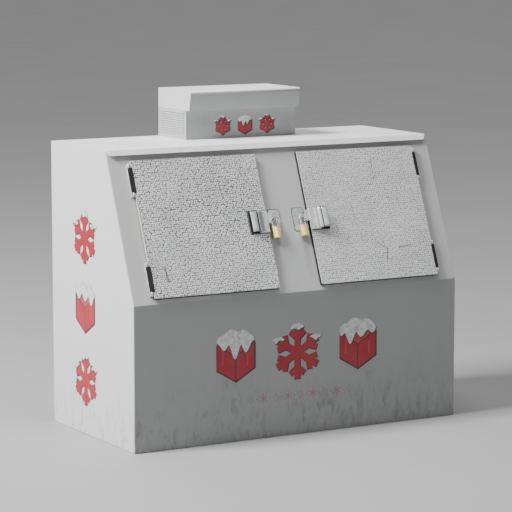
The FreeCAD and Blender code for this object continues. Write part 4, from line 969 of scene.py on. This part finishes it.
def padlock_face(word, side):
    """The padlock's slightly domed front, with a shallow line near each edge."""
    half_x, half_z = LOCK_WIDTH / 2 - LOCK_ROUND, (LOCK_TOP - LOCK_FOOT) / 2 - LOCK_ROUND
    rows = []
    for z in sorted({*steps_between(-half_z, half_z, 24), 0.0006 - half_z, half_z - 0.0006}):
        row = []
        for x in steps_between(-half_x, half_x, 72):
            dome = LOCK_DOME * (1 - (x / half_x) ** 2) ** 0.5
            line = 0.0007 * math.exp(-((abs(x) - LINE_X) / 0.0008) ** 2)
            end = min(1.0, max(0.0, half_z - abs(z)) / 0.0020) ** 0.5
            out = LOCK_OUT + LOCK_DEPTH / 2 - 0.0002 + (dome - line) * end
            row.append((side * LOCK_X + x, -out, (LOCK_TOP + LOCK_FOOT) / 2 + z))
        rows.append(row)
    made(word + "_padlock_face", grid_mesh(word + "_padlock_face", rows, 60), "lock_brass", word + "_lock",
         lean=True)


def padlock_details(word, side):
    """Collars round the shackle legs and a key plug under the body, whose keyway is a thin black slab at the
    plug's end: painted shade for the slot.
    """
    shape = bmesh.new()
    middle = side * LOCK_X
    for leg in (-SHACKLE_HALF, SHACKLE_HALF):
        turned(shape, COLLAR, (middle + leg, -LOCK_OUT, LOCK_TOP), (0, 0, 1), 24)
    turned(shape, KEY_PLUG, (middle, -LOCK_OUT, LOCK_FOOT), (0, 0, -1), 28)
    # Painted shade for the keyway: a thin black slab across the plug's end.
    before = set(shape.faces)
    block(shape, (middle - 0.0007, -LOCK_OUT - 0.0042, LOCK_FOOT - 0.00112),
          (middle + 0.0007, -LOCK_OUT + 0.0042, LOCK_FOOT - 0.0009))
    for face in shape.faces:
        if face not in before:
            face.material_index = 1
    built(word + "_padlock_details", shape, 35, ["lock_brass", "black_nylon"], word + "_lock")


# ---------------------------------------------------------------- door gaskets and hinges

GASKET_LINE = ((0.0140, 0.0004, 0.0), (0.0030, 0.0004, 0.6), (0.0012, 0.0010, 1.0), (0.0006, 0.0022, 1.0),
               (0.0006, 0.0034, 0.9), (0.0014, 0.0042, 0.5), (0.0014, 0.0048, 0.2), (0.0004, 0.0056, 0.0),
               (0.0004, 0.0160, 0.0), (0.0140, 0.0160, 0.0))
GASKET_LIP = 0.0024
GASKET_CORNER = 0.0012
HINGE_CLEARANCE = 0.0030


def door_gasket(word, side):
    """Black rubber seal behind the door skin; its lip shows on every side but the hinged one."""
    shape = bmesh.new()
    rings = []
    for inset, out, share in GASKET_LINE:
        lip = GASKET_LIP * share
        half_x, half_z = DOOR_HALF_X - inset, DOOR_HALF_Z - inset
        outline = rounded_rectangle(-half_x - lip, half_x - HINGE_CLEARANCE, -half_z - lip, half_z + lip,
                                    max(DOOR_CORNER - inset, GASKET_CORNER))
        rings.append([shape.verts.new((side * (DOOR_X + x), -out, DOOR_Z + z)) for x, z in outline])
    for first, second in zip(rings, rings[1:] + rings[:1]):
        walls(shape, first, second)
    built(word + "_gasket_ring", shape, 50, "black_rubber", word + "_door",
          [word + "_door_gasket"])


PIN_X = 0.822
PIN_OUT = 0.012
BARREL_RADIUS = 0.0065
BARREL_BORE = 0.0034
SLOT_START = 262
SLOT_END = 290
STRAP_X = 0.8075
STRAP_OUT = 0.0191
LEAF_X = 0.8294
LEAF_OUT = 0.0056
LEAF_RADIUS = 0.0019
KNUCKLE = 0.020
HINGE_LENGTH = 0.165
HINGE_FEET = (0.039, 0.532)
LEAF_LINE = ((0, 0.0), (0.0005, LEAF_RADIUS * 0.8), (0.0015, LEAF_RADIUS),
             (HINGE_LENGTH - 0.0015, LEAF_RADIUS), (HINGE_LENGTH - 0.0005, LEAF_RADIUS * 0.8),
             (HINGE_LENGTH, 0.0))


def hinge_leaves():
    """The rolled outer edge of each hinge leaf, a bright bead between its end knuckles."""
    shape = bmesh.new()
    for _, side in SIDES:
        for foot in HINGE_FEET:
            turned(shape, LEAF_LINE, (side * LEAF_X, -LEAF_OUT, foot), (0, 0, 1), 16)
            side_block(shape, side, (LEAF_X - 0.0006, LEAF_X + 0.0010), (-LEAF_OUT + 0.001, -0.0015),
                       (foot + 0.001, foot + HINGE_LENGTH - 0.001))
    built("hinge_leaves", shape, 40, "hinge_steel", "cabinet")


def hinge_barrels(word, side):
    """Black nylon barrels with a narrow front slot over the pin, webs to the door and straps on its face;
    their black also stands in for the shade in the hinge's gap.
    """
    shape = bmesh.new()
    ring = arc((PIN_X, -PIN_OUT), BARREL_RADIUS, SLOT_END - 360, SLOT_START, 26)
    ring += arc((PIN_X, -PIN_OUT), BARREL_BORE, SLOT_START, SLOT_END - 360, 26)
    for foot in HINGE_FEET:
        low, high = foot + KNUCKLE + 0.0004, foot + HINGE_LENGTH - KNUCKLE - 0.0004
        swept(shape, [(side * x, y) for x, y in ring], low, high)
        side_block(shape, side, (DOOR_OUTER - 0.0002, PIN_X - 0.0046), (-0.0165, -0.0070), (low, high))
        strap = rounded_rectangle(STRAP_X, PIN_X, low, high, 0.0035)
        raised(shape, side, strap, -DOOR_PROUD + 0.0010, -STRAP_OUT)
    piece = built(word + "_barrels", shape, 35, "black_nylon", word + "_door",
                  [word + "_hinge_barrels"])
    softened(piece, 0.0004, 1, 50)


# ---------------------------------------------------------------- screws

SCREW_METAL_AND_RECESS_SHADE = ["zinc_steel", "black_nylon"]
HEAD_LINE = ((0.0, 1.0), (0.35, 0.98), (0.72, 0.80), (0.94, 0.48), (1.0, 0.30), (1.0, 0.0))
RECESS_LENGTH = 0.42
RECESS_WIDTH = 0.09
HOUSING_HALF = 0.32
KEEPER_PROUD = 0.003
SQUARE = ((-1, -1), (1, -1), (1, 1), (-1, 1))


def screw(shape, place, out, radius, height):
    """A pan-head screw, its head standing out of a surface; its cross recess is not cut but drawn as two flat
    black strips just above the head, as painted shade.
    """
    out = Vector(out).normalized()
    turned(shape, [(up * height, share * radius) for up, share in HEAD_LINE], place, out, 20)
    across = out.orthogonal().normalized()
    other = out.cross(across)
    # Painted shade for the cross recess: two flat black strips.
    top = Vector(place) + out * (height + 0.00004)
    for first, second in ((across, other), (other, across)):
        length, width = first * radius * RECESS_LENGTH, second * radius * RECESS_WIDTH
        corners = [shape.verts.new(top + length * along + width * wide) for along, wide in SQUARE]
        shape.faces.new(corners).material_index = 1


def housing_screws():
    """Pan-head screws of the roof housing, in place of the plain ones."""
    low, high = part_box("cowl_left_panel")
    shape = bmesh.new()
    for _, side in SIDES:
        for y in (low.y + 0.0105, high.y - 0.012):
            for z in (low.z + 0.012, high.z - 0.010):
                screw(shape, (side * HOUSING_HALF, y, z), (side, 0, 0), 0.004, 0.0021)
    built("housing_screws", shape, 40, SCREW_METAL_AND_RECESS_SHADE, "cabinet", ["cowl_screws"], lean=False)


def hardware_screws():
    """Countersunk screws in the keepers, and pan heads on the latch plates."""
    keepers = bmesh.new()
    for _, side in SIDES:
        for x in (0.046, 0.092):
            for z in (0.318, 0.417):
                screw(keepers, (side * x, -KEEPER_PROUD, z), (0, -1, 0), 0.0036, 0.0002)
    built("keeper_screws", keepers, 40, SCREW_METAL_AND_RECESS_SHADE, "cabinet")
    for word, side in SIDES:
        plate = bmesh.new()
        for z in (0.318, 0.406):
            screw(plate, (side * 0.141, -CASE_PROUD, z), (0, -1, 0), 0.0038, 0.0014)
        built(word + "_latch_screws", plate, 40, SCREW_METAL_AND_RECESS_SHADE, word + "_door")


# ---------------------------------------------------------------- motifs

MOTIF_BASE = 0.0003
MOTIF_LIFT = 0.00008
MOTIF_EDGE = 0.0034
FROST_EDGE = 0.0016
MOTIF_PITCH = 0.020
SHADOW = Vector((0.0028, -0.0032))
LAYERS = {"outline": "dark_outline", "red": "red_enamel", "light": "light_red_enamel", "faded": "faded_red",
          "white": "frost_white"}


class Motif:
    """Flat shapes in layers on one sheet: dark outline, red, lighter red and white frost."""

    def __init__(self, name, origin, right, out, sink=None):
        self.name = name
        self.out = Vector(out)
        self.sink = sink
        self.matrix = Matrix.Translation(origin) @ Matrix([[*c] for c in zip(right, (0, 0, 1), out)]).to_4x4()
        self.layers = {kind: bmesh.new() for kind in LAYERS}

    def polygon(self, kind, points, level):
        shape = self.layers[kind]
        shape.faces.new([shape.verts.new((x, y, MOTIF_BASE + level * MOTIF_LIFT)) for x, y in points])

    def framed(self, kind, points, level, edge=MOTIF_EDGE):
        """A filled shape on its dark outline, which falls a little to the lower right."""
        count = len(points)
        middle = sum((Vector(p) for p in points), Vector((0, 0))) / count
        grown = []
        for number in range(count):
            before, here, after = (Vector(points[(number + step) % count]) for step in (-1, 0, 1))
            normal = Vector(((after - before).y, -(after - before).x)).normalized()
            if normal.dot(here - middle) < 0 and count < 9:
                normal = -normal
            grown.append(here + normal * edge + SHADOW)
        self.polygon("outline", grown, level - 1)
        self.polygon(kind, points, level)

    def frost(self, centre, width, height, drips, seed, level):
        """A frost cap: lumpy on top, hanging in uneven drips below, with a thin dark rim."""
        lower, upper = [], []
        for share in steps_between(0, 1, 36):
            taper = math.sqrt(max(math.sin(math.pi * share), 0.0))
            x = centre[0] + (share - 0.5) * width
            drop = 0.16 + 0.55 * abs(math.sin(drips * math.pi * share + seed)) ** 1.6
            drop *= 0.70 + 0.30 * math.sin(5.0 * share + seed * 1.7)
            lump = 0.34 + 0.13 * abs(math.sin(2.5 * math.pi * share + seed * 0.6))
            lower.append((x, centre[1] - height * drop * taper))
            upper.append((x, centre[1] + height * lump * taper))
        self.framed("white", lower + upper[-2:0:-1], level, FROST_EDGE)

    def finish(self):
        """Lay every layer in use on its sheet, finely enough to follow the sheet's buckling."""
        for kind, shape in self.layers.items():
            if not shape.faces:
                shape.free()
                continue
            shape.normal_update()
            bmesh.ops.triangulate(shape, faces=shape.faces)
            for _ in range(3):
                long_edges = [edge for edge in shape.edges if edge.calc_length() > MOTIF_PITCH]
                bmesh.ops.subdivide_edges(shape, edges=long_edges, cuts=1)
                bmesh.ops.triangulate(shape, faces=shape.faces)
            for vertex in shape.verts:
                sunk = self.sink(vertex.co.x, vertex.co.y) if self.sink else 0.0
                vertex.co = self.matrix @ vertex.co - self.out * sunk
            mesh = bpy.data.meshes.new(f"{self.name}_{kind}")
            shape.to_mesh(mesh)
            shape.free()
            made(f"{self.name}_{kind}", mesh, LAYERS[kind], "cabinet")


def heading(angle):
    """The direction at an angle in radians."""
    return Vector((math.cos(angle), math.sin(angle)))


def flake_outline(centre, size, width):
    """Anticlockwise outline of a six-armed flake with one pair of side strokes on each arm."""
    half, knot, reach, spread = width / 2, size * 0.27, size * 0.20, 0.85
    thin = width * 0.42
    sine, cosine = math.sin(spread), math.cos(spread)
    low = knot + (half - thin * cosine) / sine * cosine - thin * sine
    high = knot + (half + thin * cosine) / sine * cosine + thin * sine
    low_tip = (reach * sine + thin * cosine, knot + reach * cosine - thin * sine)
    high_tip = (reach * sine - thin * cosine, knot + reach * cosine + thin * sine)
    right = [(half, low), low_tip, high_tip, (half, high), (half, size / 2)]
    arm_line = right + [(-across, along) for across, along in right[::-1]]
    points = []
    for arm in range(6):
        angle = math.radians(90 + 60 * arm)
        along, across = heading(angle), heading(angle - math.pi / 2)
        points.append(Vector(centre) + heading(angle - math.pi / 6) * width)
        points += [Vector(centre) + across * x + along * y for x, y in arm_line]
    return points


def snowflake(motif, centre, size, width, seed):
    """Six thick arms with side strokes, capped with frost."""
    motif.framed("red", flake_outline(centre, size, width), 2)
    motif.frost((centre[0], centre[1] + size * 0.47), width * 2.2, size * 0.17, 1.6, seed, 6)
    for turn in (-1, 1):
        place = (centre[0] + turn * size * 0.40, centre[1] + size * 0.26)
        motif.frost(place, width * 1.9, size * 0.12, 1.3, seed + turn, 6)


def bar(x, low, high, half):
    """Corners of an upright rectangle about x."""
    return [(x - half, low), (x + half, low), (x + half, high), (x - half, high)]


def cube(motif, centre, size, seed):
    """An ice cube seen from a corner: three faces with dark edges and a cap of dripping frost."""
    cx, cy = centre
    wide, rise, half = size * 0.43, size * 0.25, size * 0.5
    foot, head = (cx, cy - half), (cx, cy + half)
    low_left, low_right = (cx - wide, cy - rise), (cx + wide, cy - rise)
    high_left, high_right = (cx - wide, cy + rise), (cx + wide, cy + rise)
    faces = (("light", (centre, high_right, head, high_left)),
             ("red", (low_left, foot, centre, high_left)), ("red", (foot, low_right, high_right, centre)))
    motif.framed("outline", [foot, low_right, high_right, head, high_left, low_left], 1)
    for kind, points in faces:
        middle = sum((Vector(p) for p in points), Vector((0, 0))) / 4
        motif.polygon(kind, [middle + (Vector(p) - middle) * 0.955 for p in points], 2)
    for share, start, end in ((-0.66, -0.34, 0.02), (0.62, -0.36, -0.10)):
        edge = cy + abs(share) * rise
        glint = bar(cx + wide * share, edge + size * start, edge + size * end, size * 0.018)
        motif.polygon("light", glint, 3)
    motif.frost((cx, cy + size * 0.30), wide * 2.02, size * 0.52, 3.2, seed, 5)


def star(motif, middle, size):
    """A six-pointed star of three crossed strokes."""
    for arm in range(3):
        along = heading(math.radians(90 + 60 * arm))
        across = Vector((-along.y, along.x)) * size * 0.055
        stroke = [middle + along * size / 2 * end + across * edge for end, edge in SQUARE]
        motif.polygon("faded", stroke, 1 + arm)


def diamond(motif, middle, size):
    """A hollow diamond of four strokes."""
    wide, tall = size * 0.30, size * 0.42
    corners = [middle + Vector(offset) for offset in ((-wide, 0), (0, -tall), (wide, 0), (0, tall))]
    for first, second in zip(corners, corners[1:] + corners[:1]):
        motif.polygon("faded", [first, second, second.lerp(middle, 0.24), first.lerp(middle, 0.24)], 1)


def border(motif, start, end, z, size):
    """A thin row of diamonds and six-pointed stars, joined by short dashes."""
    count = 9
    gap = (end - start) / (count - 1)
    for number in range(count):
        x = start + gap * number
        (star if number % 2 else diamond)(motif, Vector((x, z)), size)
        if number < count - 1:
            motif.polygon("faded", bar(x + gap / 2, z - size * 0.05, z + size * 0.05, gap * 0.07), 1)


def motifs():
    """Generic frosted snowflakes and ice cubes on the front, the left side and the housing."""
    front = Motif("front_motif", (0, FRONT, 0), (1, 0, 0), (0, -1, 0), front_sink)
    cube(front, (-0.370, 0.425), 0.250, 3)
    snowflake(front, (-0.020, 0.415), 0.265, 0.034, 5)
    cube(front, (0.335, 0.425), 0.250, 8)
    border(front, -0.285, 0.285, 0.200, 0.050)
    front.finish()
    left = Motif("side_motif", (-HALF, 0, 0), (0, -1, 0), (-1, 0, 0), lambda x, z: side_sink(-1, -x, z))
    snowflake(left, (-0.085, 0.985), 0.250, 0.034, 6)
    cube(left, (-0.085, 0.635), 0.250, 9)
    snowflake(left, (-0.085, 0.275), 0.250, 0.034, 4)
    left.finish()
    cowl_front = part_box("cowl_front_panel")[0].y
    housing = Motif("housing_motif", (0, cowl_front, 0), (1, 0, 0), (0, -1, 0))
    snowflake(housing, (-0.110, ROOF + 0.066), 0.092, 0.013, 2)
    cube(housing, (0.020, ROOF + 0.064), 0.092, 7)
    snowflake(housing, (0.150, ROOF + 0.066), 0.092, 0.013, 5)
    housing.finish()


# ---------------------------------------------------------------- carried-over CAD nodes

FINISH_OF = {
    "zinc_steel": ["base_skids", "hinge_brackets", "hinge_pins", "lock_keepers", "unit_tray",
                   "evaporator_case", "fan_shroud"],
    "shackle_steel": ["left_padlock_shackle", "right_padlock_shackle"],
    "latch_metal": ["left_latch_base", "right_latch_base"],
    "lock_brass": ["left_padlock_body", "right_padlock_body"],
    "cowl_front_paint": ["cowl_front_panel"],
    "cowl_paint": ["cowl_left_panel", "cowl_right_panel", "cowl_rear_panel"],
    "hood_paint": ["cowl_hood"],
    "side_paint": ["bottom_pan", "rear_panel"],
    "liner_aluminium": ["inner_liner"],
    "foam": ["floor_insulation", "left_insulation", "right_insulation", "rear_insulation", "roof_insulation",
             "front_insulation", "face_insulation", "left_door_core", "right_door_core"],
    "pale_plastic": ["breaker_frames", "left_door_liner", "right_door_liner"],
    "black_nylon": ["left_hinge_barrels", "right_hinge_barrels", "thermostat_dial"],
    "black_rubber": ["left_door_gasket", "right_door_gasket", "compressor_mounts"],
    "slat_wood": ["floor_rack"],
    "fin_aluminium": ["condenser_coil", "condenser_fan", "evaporator_coil", "evaporator_fan"],
    "black_paint": ["condenser_fan_motor", "compressor", "evaporator_fan_motor"],
    "copper": ["filter_drier", "refrigerant_lines"],
    "grey_paint": ["control_box"],
}
SOFT_EDGES = {"cowl_hood": 0.0012, "lock_keepers": 0.0007, "hinge_brackets": 0.0007,
              "left_padlock_body": 0.0010, "right_padlock_body": 0.0010, "left_latch_base": 0.0005,
              "right_latch_base": 0.0005}


def dress_nodes():
    """Give CAD nodes their materials, and round the edges of those that are seen close up."""
    for finish, nodes in FINISH_OF.items():
        for node in nodes:
            slots = frame["nodes"][node].data.materials
            for number in range(len(slots)):
                slots[number] = MATERIALS[finish]
    for node, width in SOFT_EDGES.items():
        welded(node, width)


# ---------------------------------------------------------------- stage

FLOOR_REACH = 400


def area_light(name, place, target, size, height, power):
    """A rectangular lamp that points at a target."""
    data = bpy.data.lights.new(name, "AREA")
    data.shape = "RECTANGLE"
    data.size, data.size_y = size, height
    data.energy = power
    light = placed(name, data)
    light.location = place
    light.rotation_euler = (Vector(target) - Vector(place)).to_track_quat("-Z", "Y").to_euler()
    return light


def stage():
    """Pale floor and soft studio light."""
    floor_mesh = bpy.data.meshes.new("floor")
    floor_mesh.from_pydata([(x * FLOOR_REACH, y * FLOOR_REACH, 0) for x, y in SQUARE], [], [(0, 1, 2, 3)])
    floor_mesh.materials.append(studio_floor("floor_finish"))
    floor = placed("floor", floor_mesh)
    world = bpy.data.worlds.new("studio")
    bpy.context.scene.world = world
    world.use_nodes = True
    background = world.node_tree.nodes["Background"]
    background.inputs["Color"].default_value = (0.80, 0.80, 0.81, 1)
    background.inputs["Strength"].default_value = 0.08
    area_light("key", (-7.4, 0.3, 8.6), (-0.2, 0, 0.8), 3.6, 3.6, 2700)
    overhead = bpy.data.lights.new("overhead", "SUN")
    overhead.energy = 2.07
    overhead.angle = math.radians(35)
    placed("overhead", overhead)
    glow = area_light("front_box", (3.0, -8.6, 6.4), (0, -0.4, 1.1), 3.2, 1.6, 250)
    glow.visible_diffuse = False


def camera():
    """The photograph's camera, solved from the object's corners."""
    data = bpy.data.cameras.new("camera")
    data.sensor_width = 36
    data.lens = 167.27
    data.clip_end = 200
    view = placed("camera", data)
    view.location = (-6.0085, -10.366, 2.5048)
    view.rotation_euler = (math.radians(90) - 0.1381, 0, -0.52545)
    bpy.context.scene.camera = view


camera()
stage()
dress_nodes()
front_sheet()
face_sheet()
for side_word, side_sign in SIDES:
    side_sheet(side_word, side_sign)
    grip(side_word, side_sign)
    latch_trim(side_word, side_sign)
    padlock_face(side_word, side_sign)
    padlock_details(side_word, side_sign)
    door_gasket(side_word, side_sign)
    hinge_barrels(side_word, side_sign)
keeper_pads()
hinge_leaves()
roof_sheet()
door_sheet("left", -1, 0.0010, 21, LEFT_SCRATCHES)
door_sheet("right", 1, 0.0008, 22, RIGHT_SCRATCHES)
housing_screws()
hardware_screws()
motifs()
